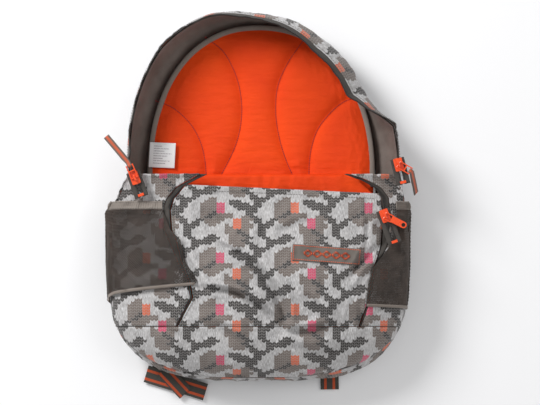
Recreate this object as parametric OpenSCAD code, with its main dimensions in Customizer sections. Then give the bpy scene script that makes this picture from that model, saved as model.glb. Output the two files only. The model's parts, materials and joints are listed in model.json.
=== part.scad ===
// Day pack with two zipped compartments and two mesh side pockets.
// It lies on its back with both compartments open: +Z up and out of the front,
// +Y towards the top of the pack, +X to the right. The origin is on the
// ground plane under the middle of the mouth.

/* [Back panel] */
// Width of the back panel
back_w = 286; // [270:1:310]
// Distance from the mouth line up to the top of the arch
arch_top = 222; // [205:1:245]
// Height above the origin at which the sides start to curve in
arch_start = 25; // [15:1:35]
// Squareness of the arch, 2 is an ellipse
arch_power = 2.2; // [2:0.1:3]
// Distance from the origin down to the bottom seam
back_low = 232; // [224:1:245]
// Distance down to where the lower corners start to round
low_start = 120; // [100:1:140]
// Squareness of the lower corners
low_power = 4; // [3:0.5:5]

/* [Layers] */
// Thickness of one layer of cloth with its coating
cloth_t = 2; // [1.5:0.1:2.4]
// Thickness of the thin lining cloth
lining_t = 1.5; // [1:0.1:1.8]
// Thickness of the foam in the back panel
foam_t = 7.7; // [5:0.1:10]
// Room between layers that are sewn together
layer_gap = 0.3; // [0.2:0.1:0.4]
// Height of the back panel above the ground, taken up by the straps
strap_space = 16; // [15:0.5:20]

/* [Side walls] */
// Largest half width of the slumped lower half
side_x = 192; // [186:1:200]
// Distance from the origin down to the lowest point of the base
base_low = 238; // [236:1:246]
// Squareness of the base outline
base_power = 2.6; // [2.3:0.1:3]
// Half width at the left end of the mouth
mouth_left = 168; // [162:1:175]
// Half width at the right end of the mouth
mouth_right = 184; // [176:1:190]
// Height of the sideways fold above the ground
fold_z = 40; // [36:1:46]
// Height of the mouth at its two ends
mouth_z = 58; // [52:1:64]
// Width of the main gusset around the arch
gusset_w = 58; // [50:1:64]
// Bulge of the main gusset between its two seams
gusset_bulge = 9; // [5:1:12]

/* [Front] */
// Height of the front panel at its top edge
front_edge_z = 64; // [60:1:70]
// Height of the front panel at its fullest
crest_z = 92; // [84:1:98]
// Squareness of the cross section of the front
crest_power = 2.3; // [2:0.1:2.8]
// Where the front panel's folded top edge crosses the middle
edge_y = 4; // [0:1:6]
// Slope of that edge, down to the right
edge_slope = -0.045; // [-0.06:0.005:0]
// Where the front panel meets the base
base_seam_y = -172; // [-180:1:-165]
// Height of the divider between the compartments
divider_z = 46; // [44:0.5:48]
// Where the divider folds over
divider_fold_y = 21; // [18:1:22]

/* [Side pockets] */
// Width of the elastic binding
binding_w = 10; // [8:1:14]
// Top edge of the side pockets
pocket_top = -11; // [-14:1:-10]
// Bottom seam of the side pockets
pocket_low = -150; // [-160:1:-140]
// Slack of the pocket mesh over the wall behind it
pocket_slack = 8; // [6:0.5:9]

/* [Zips] */
// Thickness of the teeth
teeth_t = 3; // [2.4:0.1:3.4]
// Width of one row of teeth
teeth_w = 2.6; // [2.2:0.1:3]
// Gap between the rows that the slider's wedge passes
teeth_gap = 2.6; // [2.4:0.1:3]
// Width of the zip tape under a slider
tape_w = 18; // [16:1:22]
// Thickness of the zip tape
tape_t = 1.2; // [0.8:0.1:1.4]
// Travel that the main sliders have left before their bottom stops
main_travel = 12; // [6:1:14]
// Travel of the front slider on its closed stretch
front_travel = 24; // [12:1:30]
// Length of a slider
slider_l = 17; // [15:0.5:20]
// Width of a slider
slider_w = 11.4; // [11:0.2:13]
// Running clearance inside a slider
slider_play = 0.3; // [0.25:0.05:0.4]
// Length of the main pulls from pin to eye
pull_l = 17; // [13:0.5:19]
// Length of the front pull from pin to eye
front_pull_l = 26; // [22:1:32]
// Radius of the eye in the front pull
eye_r = 2.6; // [2.3:0.1:3]
// Length of the cloth tabs on the main pulls
tab_l = 52; // [40:1:60]
// Width of the cloth tabs
tab_w = 8; // [6:0.5:10]

/* [Straps] */
// Width of a shoulder pad
pad_w = 62; // [52:1:70]
// Thickness of a shoulder pad
pad_t = 10; // [8:0.5:13]
// Width of the webbing
web_w = 25; // [20:1:28]
// Thickness of the webbing
web_t = 1.8; // [1.4:0.1:2]
// Inside width of the haul loop
haul_in = 36; // [30:1:40]
// Reach of the haul loop
haul_l = 50; // [44:1:54]

/* [Hidden] */

// Heights of the layers of the back panel
cover_z = strap_space;
foam_z = cover_z + cloth_t + layer_gap;
lining_z = foam_z + foam_t + layer_gap;
lining_top = lining_z + cloth_t;
wall_z = cover_z + 0.5;

// The gusset stands outside the edges of the flat layers
wall_out = cloth_t + lining_t + 2 * layer_gap + 0.5;
half_back = back_w / 2;
right_reach = 8;
seam_gap = 0.8;
seam_drop = 2;
zip_gap = 2.1;

// Numbers of stations along the outline and across a sheet
arch_steps = 14;
side_steps = 6;
low_steps = 8;
wall_rows = 5;
sheet_cols = 22;
sheet_rows = 12;

function root_of(v, e) = pow(max(v, 0), e);
function mix(a, b, t) = a + (b - a) * t;

// One quarter of a squared-off ellipse
function quarter(a, w, h, p) = [w * root_of(cos(a), 2 / p), h * root_of(sin(a), 2 / p)];

// Right half of the outline as [zone, position], from the bottom to the top:
// zone 0 is the base, 1 the side and 2 the arch
half_stations = concat(
    [for (i = [0:low_steps - 1]) [0, 90 - 90 * i / low_steps]],
    [for (i = [0:side_steps - 1]) [1, mix(-low_start, arch_start, i / side_steps)]],
    [for (i = [0:arch_steps]) [2, 90 * i / arch_steps]]);
half_count = len(half_stations);
// Whole outline as [side, zone, position]
ring_stations = concat(
    [for (s = half_stations) [1, s[0], s[1]]],
    [for (i = [half_count - 2:-1:1]) [-1, half_stations[i][0], half_stations[i][1]]]);

// Edge of the back panel, moved out by grow; it lies a little further out on the right
function back_x(side) = half_back + (side > 0 ? right_reach : 0);
function panel_point(side, zone, t, grow) =
    zone == 1 ? [side * (back_x(side) + grow), t] :
    zone == 2 ?
        let (q = quarter(t, back_x(side) + grow, arch_top - arch_start + grow, arch_power))
        [side * q[0], arch_start + q[1]] :
        let (q = quarter(t, back_x(side) + grow, back_low - low_start + grow, low_power))
        [side * q[0], -low_start - q[1]];
function panel_outline(grow) = [for (s = ring_stations) panel_point(s[0], s[1], s[2], grow)];

// Half width and heights of the slumped lower half at a height y
function mouth_x(side) = side < 0 ? mouth_left : mouth_right;
function low_share(y) = y > -low_start ? 1 :
    root_of(1 - pow((-low_start - y) / (base_low - low_start), base_power), 1 / base_power);
function half_x(side, y) = y < -low_start ? side_x * low_share(y) :
    lookup(y, [[-25, side_x], [arch_start, mouth_x(side)]]);
function edge_z(y) = lookup(y, [[-45, fold_z], [arch_start, mouth_z]]);
function top_z(y) = lookup(y, [[-110, crest_z], [0, front_edge_z]]);
function shell_z(x, y) =
    let (w = half_x(sign(x), y))
    edge_z(y) + (top_z(y) - edge_z(y)) * low_share(y)
        * root_of(1 - pow(min(abs(x) / w, 1), crest_power), 1 / crest_power);

// How far the rim of the gusset leans out around the arch
function lean(side, a) = side < 0 ?
    lookup(a, [[0, mouth_left - half_back - wall_out], [45, 24], [70, 16], [90, 1]]) :
    lookup(a, [[0, mouth_right - back_x(side) - wall_out], [14, 26], [22, 0], [31, -15],
        [60, -15], [90, 1]]);
function rim_point(side, zone, t) =
    zone == 0 ?
        let (q = quarter(t, side_x, base_low - low_start, base_power))
        [side * q[0], -low_start - q[1], fold_z - seam_drop] :
    zone == 1 ? [side * half_x(side, t), t, edge_z(t) - seam_drop] :
        let (out = lean(side, t), b = panel_point(side, zone, t, wall_out + out),
            full = wall_z + sqrt(gusset_w * gusset_w - out * out))
        [b[0], b[1], lookup(t, [[0, mouth_z - seam_drop], [16, full]])];

// Rows of the gusset from its seam on the back panel to its rim
function unit(v) = v / norm(v);
function out_dir(i) =
    let (n = len(ring_stations), a = ring_stations[(i + n - 1) % n], b = ring_stations[(i + 1) % n],
        d = panel_point(b[0], b[1], b[2], wall_out) - panel_point(a[0], a[1], a[2], wall_out))
    unit([d[1], -d[0], 0]);
function gusset_row(i) =
    let (s = ring_stations[i], b = panel_point(s[0], s[1], s[2], wall_out),
        foot = [b[0], b[1], wall_z], rim = rim_point(s[0], s[1], s[2]))
    [for (j = [0:wall_rows]) mix(foot, rim, j / wall_rows)
        + out_dir(i) * gusset_bulge * sin(180 * j / wall_rows)
            * (s[1] == 0 ? mix(0.35, 1, cos(s[2])) : 1)];
gusset_grid = [for (i = [0:len(ring_stations) - 1]) gusset_row(i)];

// Normal of a grid of points at one of them
function grid_normal(g, i, j, closed) =
    let (n = len(g), m = len(g[0]),
        i0 = closed ? (i + n - 1) % n : max(i - 1, 0), i1 = closed ? (i + 1) % n : min(i + 1, n - 1),
        j0 = max(j - 1, 0), j1 = min(j + 1, m - 1))
    unit(cross(g[i1][j] - g[i0][j], g[i][j1] - g[i][j0]));

// A closed sheet of cloth over a grid. It lies between the two distances from
// the grid, and rise adds a distance of its own at each point. span picks the
// columns from one to another of a closed grid.
module sheet(grid, from, to, closed = false, rise = undef, span = undef) {
    whole = len(grid);
    n = is_undef(span) ? whole : span[1] - span[0] + 1;
    first = is_undef(span) ? 0 : span[0];
    looped = closed && is_undef(span);
    m = len(grid[0]);
    last = looped ? n - 1 : n - 2;
    function lift(i, j) = is_undef(rise) ? 0 : rise[i][j];
    ids = [for (i = [0:n - 1]) (first + i) % whole];
    top = [for (i = ids) for (j = [0:m - 1])
        grid[i][j] + grid_normal(grid, i, j, closed) * (to + lift(i, j))];
    bottom = [for (i = ids) for (j = [0:m - 1])
        grid[i][j] + grid_normal(grid, i, j, closed) * (from + lift(i, j))];
    k = n * m;
    function at(i, j) = (i % n) * m + j;
    polyhedron(concat(top, bottom), concat(
        [for (i = [0:last]) for (j = [0:m - 2]) [at(i, j), at(i, j + 1), at(i + 1, j + 1)]],
        [for (i = [0:last]) for (j = [0:m - 2]) [at(i, j), at(i + 1, j + 1), at(i + 1, j)]],
        [for (i = [0:last]) for (j = [0:m - 2])
            [k + at(i, j), k + at(i + 1, j + 1), k + at(i, j + 1)]],
        [for (i = [0:last]) for (j = [0:m - 2])
            [k + at(i, j), k + at(i + 1, j), k + at(i + 1, j + 1)]],
        [for (i = [0:last]) [at(i, 0), at(i + 1, 0), k + at(i + 1, 0)]],
        [for (i = [0:last]) [at(i, 0), k + at(i + 1, 0), k + at(i, 0)]],
        [for (i = [0:last]) [at(i, m - 1), k + at(i + 1, m - 1), at(i + 1, m - 1)]],
        [for (i = [0:last]) [at(i, m - 1), k + at(i, m - 1), k + at(i + 1, m - 1)]],
        looped ? [] : [for (j = [0:m - 2]) [at(0, j), k + at(0, j + 1), at(0, j + 1)]],
        looped ? [] : [for (j = [0:m - 2]) [at(0, j), k + at(0, j), k + at(0, j + 1)]],
        looped ? [] : [for (j = [0:m - 2])
            [at(n - 1, j), at(n - 1, j + 1), k + at(n - 1, j + 1)]],
        looped ? [] : [for (j = [0:m - 2])
            [at(n - 1, j), k + at(n - 1, j + 1), k + at(n - 1, j)]]));
}

module flat_layer(grow, z, t) {
    translate([0, 0, z])
        linear_extrude(t) polygon(panel_outline(grow));
}

module back_cover() {
    color("dimgray") flat_layer(0, cover_z, cloth_t);
}

module back_foam() {
    color("gainsboro") flat_layer(-6, foam_z, foam_t);
}

module back_lining() {
    color("orangered") flat_layer(-0.2, lining_z, cloth_t);
}

// Mesh covered pads on the wearer's side
back_pad_t = 4.5;
back_pad_w = 78;
back_pad_x = 62;
module back_pad(side) {
    color("darkslategray")
        translate([side * back_pad_x, 0, cover_z - layer_gap - back_pad_t])
        linear_extrude(back_pad_t)
        hull()
        for (y = [-60, 120]) translate([0, y]) circle(d = back_pad_w, $fn = 32);
}

module lumbar_pad() {
    color("darkslategray")
        translate([0, 0, cover_z - layer_gap - back_pad_t])
        linear_extrude(back_pad_t)
        hull()
        for (x = [-85, 85]) translate([x, -150]) circle(d = 60, $fn = 32);
}

module wall_part(from_i, to_i) {
    color("lightgray") sheet(gusset_grid, -cloth_t, 0, true, span = [from_i, to_i]);
}

module gusset_lining() {
    color("rosybrown")
        sheet(gusset_grid, -cloth_t - layer_gap - lining_t, -cloth_t - layer_gap, true);
}

// Zip tape along the open rim, over the arch from end to end
arch_first = low_steps + side_steps;
arch_last = arch_first + 2 * arch_steps;
rim_tape_w = 11;
module rim_zip_tape() {
    grid = [for (i = [arch_first + 1:arch_last - 1])
        let (g = gusset_grid[i], d = unit(g[wall_rows] - g[wall_rows - 1]))
        [for (j = [0:2]) g[wall_rows] + d * (seam_gap + rim_tape_w * j / 2)]];
    color("dimgray") sheet(grid, -cloth_t, -cloth_t + tape_t);
}

// Bound seam on the inside foot of the gusset
module rim_piping() {
    grid = [for (i = [arch_first:arch_last])
        let (s = ring_stations[i])
        [for (j = [0:2])
            let (p = panel_point(s[0], s[1], s[2], -1 - 3.5 * j))
            [p[0], p[1], lining_top + layer_gap + 2.5 - j]]];
    color("gray") sheet(grid, 0, 1.6);
}

// Lines of the front zip, from the mouth down
function front_zip_x(side, y) = side < 0 ?
    lookup(y, [[base_seam_y, -104], [-135, -84], [-113, -88], [-90, -98], [-61, -106],
        [-48, -112], [-23, -114], [-8, -110], [8, -96], [24, -66]]) :
    lookup(y, [[base_seam_y, 130], [-145, 140], [-98, 150], [-68, 160], [-34, 163],
        [-6, 161], [6, 152], [14, 138], [24, 112]]);

function shell_point(x, y) = [x, y, shell_z(x, y)];

middle_top_y = 24;
front_tape_w = 8;
// A patch of the front between two lines x0(y) and x1(y), closer together
// where the wall turns down
module middle_gusset(side) {
    grid = [for (i = [0:sheet_rows])
        let (t = side > 0 ? i / sheet_rows : 1 - i / sheet_rows)
        [for (j = [0:sheet_rows])
            let (y = mix(base_seam_y + seam_gap, middle_top_y, j / sheet_rows),
                inner = front_zip_x(side, y) + side * (front_tape_w + seam_gap),
                outer = side * (half_x(side, y) - layer_gap))
            shell_point(mix(inner, outer, sin(90 * t)), y)]];
    color("silver") sheet(grid, -cloth_t, 0);
}

module front_zip_tape(side) {
    grid = [for (i = [0:2])
        let (t = side > 0 ? i / 2 : 1 - i / 2)
        [for (j = [0:sheet_rows])
            let (y = mix(base_seam_y + seam_gap, middle_top_y, j / sheet_rows),
                x = front_zip_x(side, y) + side * front_tape_w * t)
            shell_point(x, y)]];
    color("dimgray") sheet(grid, -cloth_t, -cloth_t + tape_t);
}

function edge_at(x) = edge_y + edge_slope * x;

module front_panel() {
    grid = [for (i = [0:sheet_cols])
        [for (j = [0:sheet_rows])
            let (t = i / sheet_cols,
                y0 = mix(base_seam_y + seam_gap, edge_at(0), j / sheet_rows),
                x0 = mix(front_zip_x(-1, y0) + zip_gap, front_zip_x(1, y0) - zip_gap, t),
                y = mix(base_seam_y + seam_gap, edge_at(x0), j / sheet_rows),
                x1 = mix(front_zip_x(-1, y) + zip_gap, front_zip_x(1, y) - zip_gap, t))
            shell_point(x1, y)]];
    color("whitesmoke") sheet(grid, -cloth_t, 0);
}

base_end = base_low - 1.5;
module base_panel() {
    grid = [for (i = [0:sheet_cols])
        [for (j = [0:low_steps])
            let (y = -low_start - (base_end - low_start)
                    * sin(mix(90, asin((-base_seam_y - low_start) / (base_end - low_start)),
                        j / low_steps)),
                side = i < sheet_cols / 2 ? -1 : 1,
                x = (half_x(side, y) - layer_gap) * sin(mix(-90, 90, i / sheet_cols)))
            shell_point(x, y)]];
    color("lightgray") sheet(grid, -cloth_t, 0);
}

// The divider lies on the things in the main compartment and folds back
// under itself at the mouth
divider_in = 16;
divider_fold_r = 5;
function divider_x(side, y) = side * min(half_x(side, y) - divider_in, 158);
divider_ys = [for (i = [0:16]) mix(-222, divider_fold_y, i / 16)];
module divider_panel() {
    outline = concat(
        [for (y = divider_ys) [divider_x(1, y), y]],
        [for (i = [16:-1:0]) [divider_x(-1, divider_ys[i]), divider_ys[i]]]);
    under = [for (a = [0:10:180]) [128 * cos(a), divider_fold_y - 150 * sin(a)]];
    color("orangered") {
        translate([0, 0, divider_z]) linear_extrude(cloth_t) polygon(outline);
        translate([0, 0, divider_z + cloth_t - 2 * divider_fold_r])
            linear_extrude(cloth_t) polygon(under);
        translate([0, divider_fold_y, divider_z + cloth_t - divider_fold_r])
            rotate([90, 0, 90])
            linear_extrude(256, center = true)
            intersection() {
                difference() {
                    circle(divider_fold_r, $fn = 48);
                    circle(divider_fold_r - cloth_t, $fn = 48);
                }
                translate([0, -divider_fold_r]) square([divider_fold_r, 2 * divider_fold_r]);
            }
    }
}

// Side pockets follow the wall from the front zip round the sideways fold
pocket_cols = 10;
pocket_rows = 8;
pocket_lift = 1.6;
// How far in the pockets reach over the front
function pocket_inner_x(side, y) = side < 0 ?
    lookup(y, [[pocket_low, 92], [-113, 78], [-90, 93], [-61, 100], [-48, 113], [-23, 123]]) :
    lookup(y, [[pocket_low, 138], [-118, 141], [-98, 147], [-68, 171], [-46, 179], [-11, 180]]);
function pocket_point(side, w, y) =
    let (inner = pocket_inner_x(side, y), outer = half_x(side, y))
    w < 0.7 ?
        let (a = 90 * w / 0.7, x = side * mix(inner, outer, sin(a)))
        shell_point(x, y) :
        let (t = 1 - 0.62 * (w - 0.7) / 0.3)
        [side * (mix(back_x(side) + wall_out, outer, t) + gusset_bulge * sin(180 * t)), y,
            mix(wall_z, edge_z(y) - seam_drop, t)];
function pocket_grid(side, y0, y1, rows) =
    let (g = [for (i = [0:pocket_cols]) [for (j = [0:rows])
        pocket_point(side, i / pocket_cols, mix(y0, y1, j / rows))]])
    side > 0 ? g : [for (i = [pocket_cols:-1:0]) g[i]];
function pocket_rise(side, y0, y1, rows) =
    let (g = [for (i = [0:pocket_cols]) [for (j = [0:rows])
        let (y = mix(y0, y1, j / rows), w = i / pocket_cols)
        pocket_lift + pocket_slack * pow(sin(180 * mix(0.03, 0.97, w)), 0.7)
            * lookup(y, [[pocket_low, 0.25], [pocket_low + 60, 0.8], [pocket_top, 1]])]])
    side > 0 ? g : [for (i = [pocket_cols:-1:0]) g[i]];

module mesh_pocket(side) {
    y1 = pocket_top - binding_w - seam_gap;
    color("saddlebrown")
        sheet(pocket_grid(side, pocket_low, y1, pocket_rows), 0, 1.2,
            rise = pocket_rise(side, pocket_low, y1, pocket_rows));
}

module pocket_binding(side) {
    y0 = pocket_top - binding_w;
    color("tan")
        sheet(pocket_grid(side, y0, pocket_top, 2), 0.7, 2.8,
            rise = pocket_rise(side, y0, pocket_top, 2));
}

// Badge sewn on the front panel
badge_c = [88, -80];
badge_size = [86, 22];
mark_size = [60, 11];
badge_turn = -5;
function badge_grid(size, cols) = [for (i = [0:cols]) [for (j = [0:2])
    let (u = (i / cols - 0.5) * size[0], v = (j / 2 - 0.5) * size[1],
        x = badge_c[0] + u * cos(badge_turn) - v * sin(badge_turn),
        y = badge_c[1] + u * sin(badge_turn) + v * cos(badge_turn))
    shell_point(x, y)]];
module badge_patch() {
    color("dimgray") sheet(badge_grid(badge_size, 10), 0.8, 2);
}

module badge_mark() {
    color("coral") sheet(badge_grid(mark_size, 6), 2.3, 3);
}

label_size = [36, 34];
label_rise = 5;
module care_label() {
    color("white")
        translate([-141, 34, lining_top + label_rise])
        linear_extrude(0.8) square(label_size);
}

// Places of the three sliders and the turn of their zips
main_left_at = [-158, 19, 67];
main_left_turn = 20;
main_right_at = [181, 36, 68];
main_right_turn = 14;
front_at = [163, -30, 70.5];
front_turn = 20;

// In a zip's own frame the closed stretch runs along -Y and +Z faces up
module at_zip(place, turn) {
    translate(place) rotate([0, 0, turn]) children();
}

track_lead = 5.5;
module zip_track(travel) {
    len_y = travel + slider_l + track_lead;
    translate([0, slider_l / 2 - len_y, 0]) {
        translate([-tape_w / 2, 0, -tape_t / 2])
            cube([tape_w / 2 - teeth_gap / 2, len_y, tape_t]);
        translate([teeth_gap / 2, 0, -tape_t / 2])
            cube([tape_w / 2 - teeth_gap / 2, len_y, tape_t]);
        for (x = [-teeth_gap / 2 - teeth_w, teeth_gap / 2])
            translate([x, 0, -teeth_t / 2]) cube([teeth_w, len_y, teeth_t]);
        translate([-tape_w / 2, -1.5, -tape_t / 2]) cube([tape_w, 1.5, tape_t]);
    }
}

stop_l = 3.5;
module zip_stop(travel) {
    y = slider_l / 2 - (travel + slider_l + track_lead) + 1;
    color("orangered")
        for (z = [teeth_t / 2 + layer_gap, -teeth_t / 2 - layer_gap - 1])
            translate([-teeth_w - teeth_gap / 2, y, z])
                cube([2 * teeth_w + teeth_gap, stop_l, 1]);
}

// Die-cast slider: two plates on a wedge, with edges that close over the
// teeth and leave a slot for the tape, and a crown that holds the pull
plate_t = 1.6;
chan_z = teeth_t / 2 + slider_play;
edge_w = 1.1;
crown_w = 2;
crown_rise = 4.8;
crown_l = 7.2;
crown_leg = 1.2;
pin_r = 0.9;
pin_z = chan_z + plate_t + 1.6;
module slider_body() {
    slot_z = tape_t / 2 + slider_play;
    color("orangered") {
        for (z = [-1, 1]) {
            translate([0, 0, z * (chan_z + plate_t / 2)])
                linear_extrude(plate_t, center = true)
                intersection() {
                    square([slider_w, slider_l], center = true);
                    circle(d = 1.12 * slider_l, $fn = 48);
                }
            for (x = [-1, 1])
                translate([x * (slider_w - edge_w) / 2, 0, z * (chan_z + slot_z) / 2])
                    cube([edge_w, slider_l * 0.62, chan_z - slot_z + 0.02], center = true);
        }
        translate([0, slider_l / 2 - 2.6, 0])
            cube([teeth_gap - 2 * slider_play, 3.6, 2 * chan_z + 0.02], center = true);
        for (y = [-1, 1])
            translate([0, y * (crown_l - crown_leg) / 2, chan_z + plate_t + crown_rise / 2 - 0.01])
                cube([crown_w, crown_leg, crown_rise], center = true);
        translate([0, 0, chan_z + plate_t + crown_rise - 0.8])
            cube([crown_w, crown_l, 1.6], center = true);
    }
}

// Pull in its own frame: the pin lies along X at the origin, the pull
// points along +Y
frame_w = 9.8;
frame_side = 1.3;
frame_l = 9.5;
pull_t = 1.8;
module pull_frame() {
    rotate([0, 90, 0]) cylinder(r = pin_r, h = frame_w, center = true, $fn = 24);
    for (x = [-1, 1])
        translate([x * (frame_w - frame_side) / 2, frame_l / 2, 0])
            cube([frame_side, frame_l, pull_t], center = true);
    translate([0, frame_l, 0])
        cube([frame_w, 1.6, pull_t], center = true);
}

module main_pull() {
    color("orangered") {
        pull_frame();
        for (x = [-1, 1])
            translate([x * (frame_w - frame_side) / 2, (frame_l + pull_l) / 2, 0])
                cube([frame_side, pull_l - frame_l, pull_t], center = true);
        translate([0, pull_l, 0])
            rotate([0, 90, 0]) cylinder(r = pin_r, h = frame_w, center = true, $fn = 24);
    }
}

front_pull_w = 8.4;
module front_pull() {
    color("orangered") {
        pull_frame();
        difference() {
            union() {
                translate([0, (frame_l + front_pull_l) / 2, 0])
                    cube([front_pull_w, front_pull_l - frame_l, pull_t], center = true);
                translate([0, front_pull_l, 0])
                    cylinder(d = front_pull_w, h = pull_t, center = true, $fn = 48);
            }
            translate([0, front_pull_l, 0])
                cylinder(r = eye_r, h = 2 * pull_t, center = true, $fn = 48);
        }
    }
}

// Cloth tab, folded round the far bar of a main pull. It leaves the bar
// along +Y of the pull and then swings aside by turn.
tab_t = 2.4;
tab_hub_w = 6.4;
tab_hub_r = pin_r + 1.4;
module cloth_tab(turn) {
    color("rosybrown") {
        difference() {
            union() {
                rotate([0, 90, 0])
                    cylinder(r = tab_hub_r, h = tab_hub_w, center = true, $fn = 32);
                translate([-tab_hub_w / 2, 0, -tab_t / 2]) cube([tab_hub_w, 6, tab_t]);
            }
            rotate([0, 90, 0])
                cylinder(r = pin_r + 0.25, h = tab_hub_w + 2, center = true, $fn = 32);
        }
        translate([0, 5, 0]) rotate([0, 0, turn])
            translate([-tab_w / 2, -1, -tab_t / 2]) cube([tab_w, tab_l - 4, tab_t]);
    }
}

// Rest directions of the pulls: heading in plan, then lift above level
left_pull_turn = 24;
left_pull_lift = 2;
left_tab_lift = -12;
left_tab_turn = 16;
right_pull_turn = -120;
right_pull_lift = -1;
right_tab_lift = -62;
right_tab_turn = -22;
front_pull_turn = -117;
front_pull_lift = -1;

module at_pull(place, turn, lift) {
    translate(place + [0, 0, pin_z]) rotate([0, 0, turn]) rotate([lift, 0, 0]) children();
}

// Shoulder straps, flat under the back panel
strap_top = [34, 146];
strap_mid = [86, 60];
strap_end = [92, -66];
function curve(a, b, c, t) = (1 - t) * (1 - t) * a + 2 * t * (1 - t) * b + t * t * c;
strap_path = [for (i = [0:20]) curve(strap_top + [24, 0], strap_mid, strap_end, i / 20)];
function path_normal(p, i) =
    let (d = p[min(i + 1, len(p) - 1)] - p[max(i - 1, 0)]) [d[1], -d[0]] / norm(d);
module shoulder_pad(side) {
    n = len(strap_path);
    width = [for (i = [0:n - 1]) pad_w * lookup(i / (n - 1), [[0, 0.82], [0.3, 1], [0.8, 0.8], [1, 0.55]])];
    outline = concat(
        [for (i = [0:n - 1]) strap_path[i] + path_normal(strap_path, i) * width[i] / 2],
        [for (i = [n - 1:-1:0]) strap_path[i] - path_normal(strap_path, i) * width[i] / 2]);
    color("dimgray") scale([side, 1, 1]) linear_extrude(pad_t) polygon(outline);
}

// Cloth panel over the top ends of the straps
yoke_low = 7.5;
module yoke_panel() {
    color("gray")
        translate([0, 0, yoke_low])
        linear_extrude(3)
        polygon([[-88, 156], [88, 156], [64, 180], [-64, 180]]);
}

// The loop is folded down under the yoke and swings out about its seam
haul_z = 2.2;
haul_seam_y = 184;
haul_web = 10;
haul_t = 2.5;
module lower_half(radius) {
    intersection() {
        circle(radius, $fn = 64);
        translate([-radius, -radius]) square([2 * radius, radius + 0.01]);
    }
}

module haul_loop() {
    r = haul_in / 2;
    straight = haul_l - r - haul_web;
    color("dimgray")
        translate([0, haul_seam_y, haul_z])
        linear_extrude(haul_t)
        difference() {
            union() {
                translate([-r - haul_web, -straight]) square([haul_in + 2 * haul_web, straight]);
                translate([0, -straight]) lower_half(r + haul_web);
            }
            translate([-r, -straight]) square([haul_in, straight - haul_web]);
            translate([0, -straight]) lower_half(r);
        }
}

// Ladder lock: a frame with three bars that grips the adjuster webbing
lock_at = [92, -84];
lock_w = web_w + 9;
lock_l = 26;
lock_t = 6;
lock_slot = 3.6;
module ladder_lock(side) {
    color("black")
        translate([side * lock_at[0], lock_at[1], 1])
        linear_extrude(lock_t)
        difference() {
            square([lock_w, lock_l], center = true);
            for (y = [-7.2, 0, 7.2])
                translate([0, y]) square([web_w + 1, lock_slot], center = true);
        }
}

// Adjuster webbing from the lock down to the lower corner
web_y = -205;
module adjuster_web(side) {
    color("dimgray")
        translate([side * lock_at[0] - web_w / 2, web_y, 4])
        cube([web_w, lock_at[1] - lock_l / 2 - 0.4 - web_y, web_t]);
}

// Cloth tab that anchors the webbing in the bottom seam
module anchor_tab(side) {
    color("gray")
        translate([0, 0, 6.4])
        linear_extrude(3)
        polygon([[side * (lock_at[0] - 19), -203], [side * (lock_at[0] + 19), -203],
            [side * (lock_at[0] + 40), -229], [side * (lock_at[0] - 32), -229]]);
}

// Free ends of the adjuster webbing, from the locks out past the bottom edge
tail_z = 1.2;
tail_start_y = lock_at[1] - lock_l / 2 - 3.5;
left_tail_fold = [-131, -240];
left_tail_end = [-70, -259];
module web_strip(a, b, w, z) {
    d = b - a;
    translate([a[0], a[1], z]) rotate([0, 0, atan2(d[1], d[0])])
        translate([0, -w / 2, 0]) cube([norm(d), w, web_t]);
}

module web_tail_left() {
    color("darkslategray") {
        web_strip([-lock_at[0], tail_start_y], left_tail_fold, web_w - 1, tail_z);
        web_strip(left_tail_fold - [15, -6], left_tail_end, web_w - 3, tail_z + web_t);
    }
}

module web_tail_right() {
    color("darkslategray")
        web_strip([lock_at[0], tail_start_y], [lock_at[0] + 2, -254], web_w - 1, tail_z);
}

back_cover();
back_foam();
back_lining();
back_pad(-1);  // back_pad_left
back_pad(1);  // back_pad_right
lumbar_pad();
wall_part(arch_first, arch_first + arch_steps);  // arch_gusset_right
wall_part(arch_first + arch_steps, arch_last);  // arch_gusset_left
wall_part(arch_last, len(ring_stations));  // side_wall_left
wall_part(0, arch_first);  // side_wall_right
gusset_lining();
rim_zip_tape();
rim_piping();
middle_gusset(-1);  // middle_gusset_left
middle_gusset(1);  // middle_gusset_right
front_panel();
base_panel();
divider_panel();
front_zip_tape(-1);  // front_zip_tape_left
front_zip_tape(1);  // front_zip_tape_right
mesh_pocket(-1);  // mesh_pocket_left
mesh_pocket(1);  // mesh_pocket_right
pocket_binding(-1);  // pocket_binding_left
pocket_binding(1);  // pocket_binding_right
badge_patch();
badge_mark();
care_label();
color("dimgray") at_zip(main_left_at, main_left_turn) zip_track(main_travel);  // zip_track_left
color("dimgray") at_zip(main_right_at, main_right_turn) zip_track(main_travel);  // zip_track_right
color("dimgray") at_zip(front_at, front_turn) zip_track(front_travel);  // zip_track_front
at_zip(main_left_at, main_left_turn) zip_stop(main_travel);  // zip_stop_left
at_zip(main_right_at, main_right_turn) zip_stop(main_travel);  // zip_stop_right
at_zip(front_at, front_turn) zip_stop(front_travel);  // zip_stop_front
at_zip(main_left_at, main_left_turn) slider_body();  // slider_left
at_zip(main_right_at, main_right_turn) slider_body();  // slider_right
at_zip(front_at, front_turn) slider_body();  // slider_front
at_pull(main_left_at, left_pull_turn, left_pull_lift) main_pull();  // pull_left
at_pull(main_right_at, right_pull_turn, right_pull_lift) main_pull();  // pull_right
at_pull(front_at, front_pull_turn, front_pull_lift) front_pull();  // pull_front
at_pull(main_left_at, left_pull_turn, left_pull_lift)  // tab_left
        translate([0, pull_l, 0]) rotate([left_tab_lift, 0, 0]) cloth_tab(left_tab_turn);
at_pull(main_right_at, right_pull_turn, right_pull_lift)  // tab_right
        translate([0, pull_l, 0]) rotate([right_tab_lift, 0, 0]) cloth_tab(right_tab_turn);
shoulder_pad(-1);  // shoulder_pad_left
shoulder_pad(1);  // shoulder_pad_right
yoke_panel();
haul_loop();
ladder_lock(-1);  // ladder_lock_left
ladder_lock(1);  // ladder_lock_right
adjuster_web(-1);  // adjuster_web_left
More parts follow.
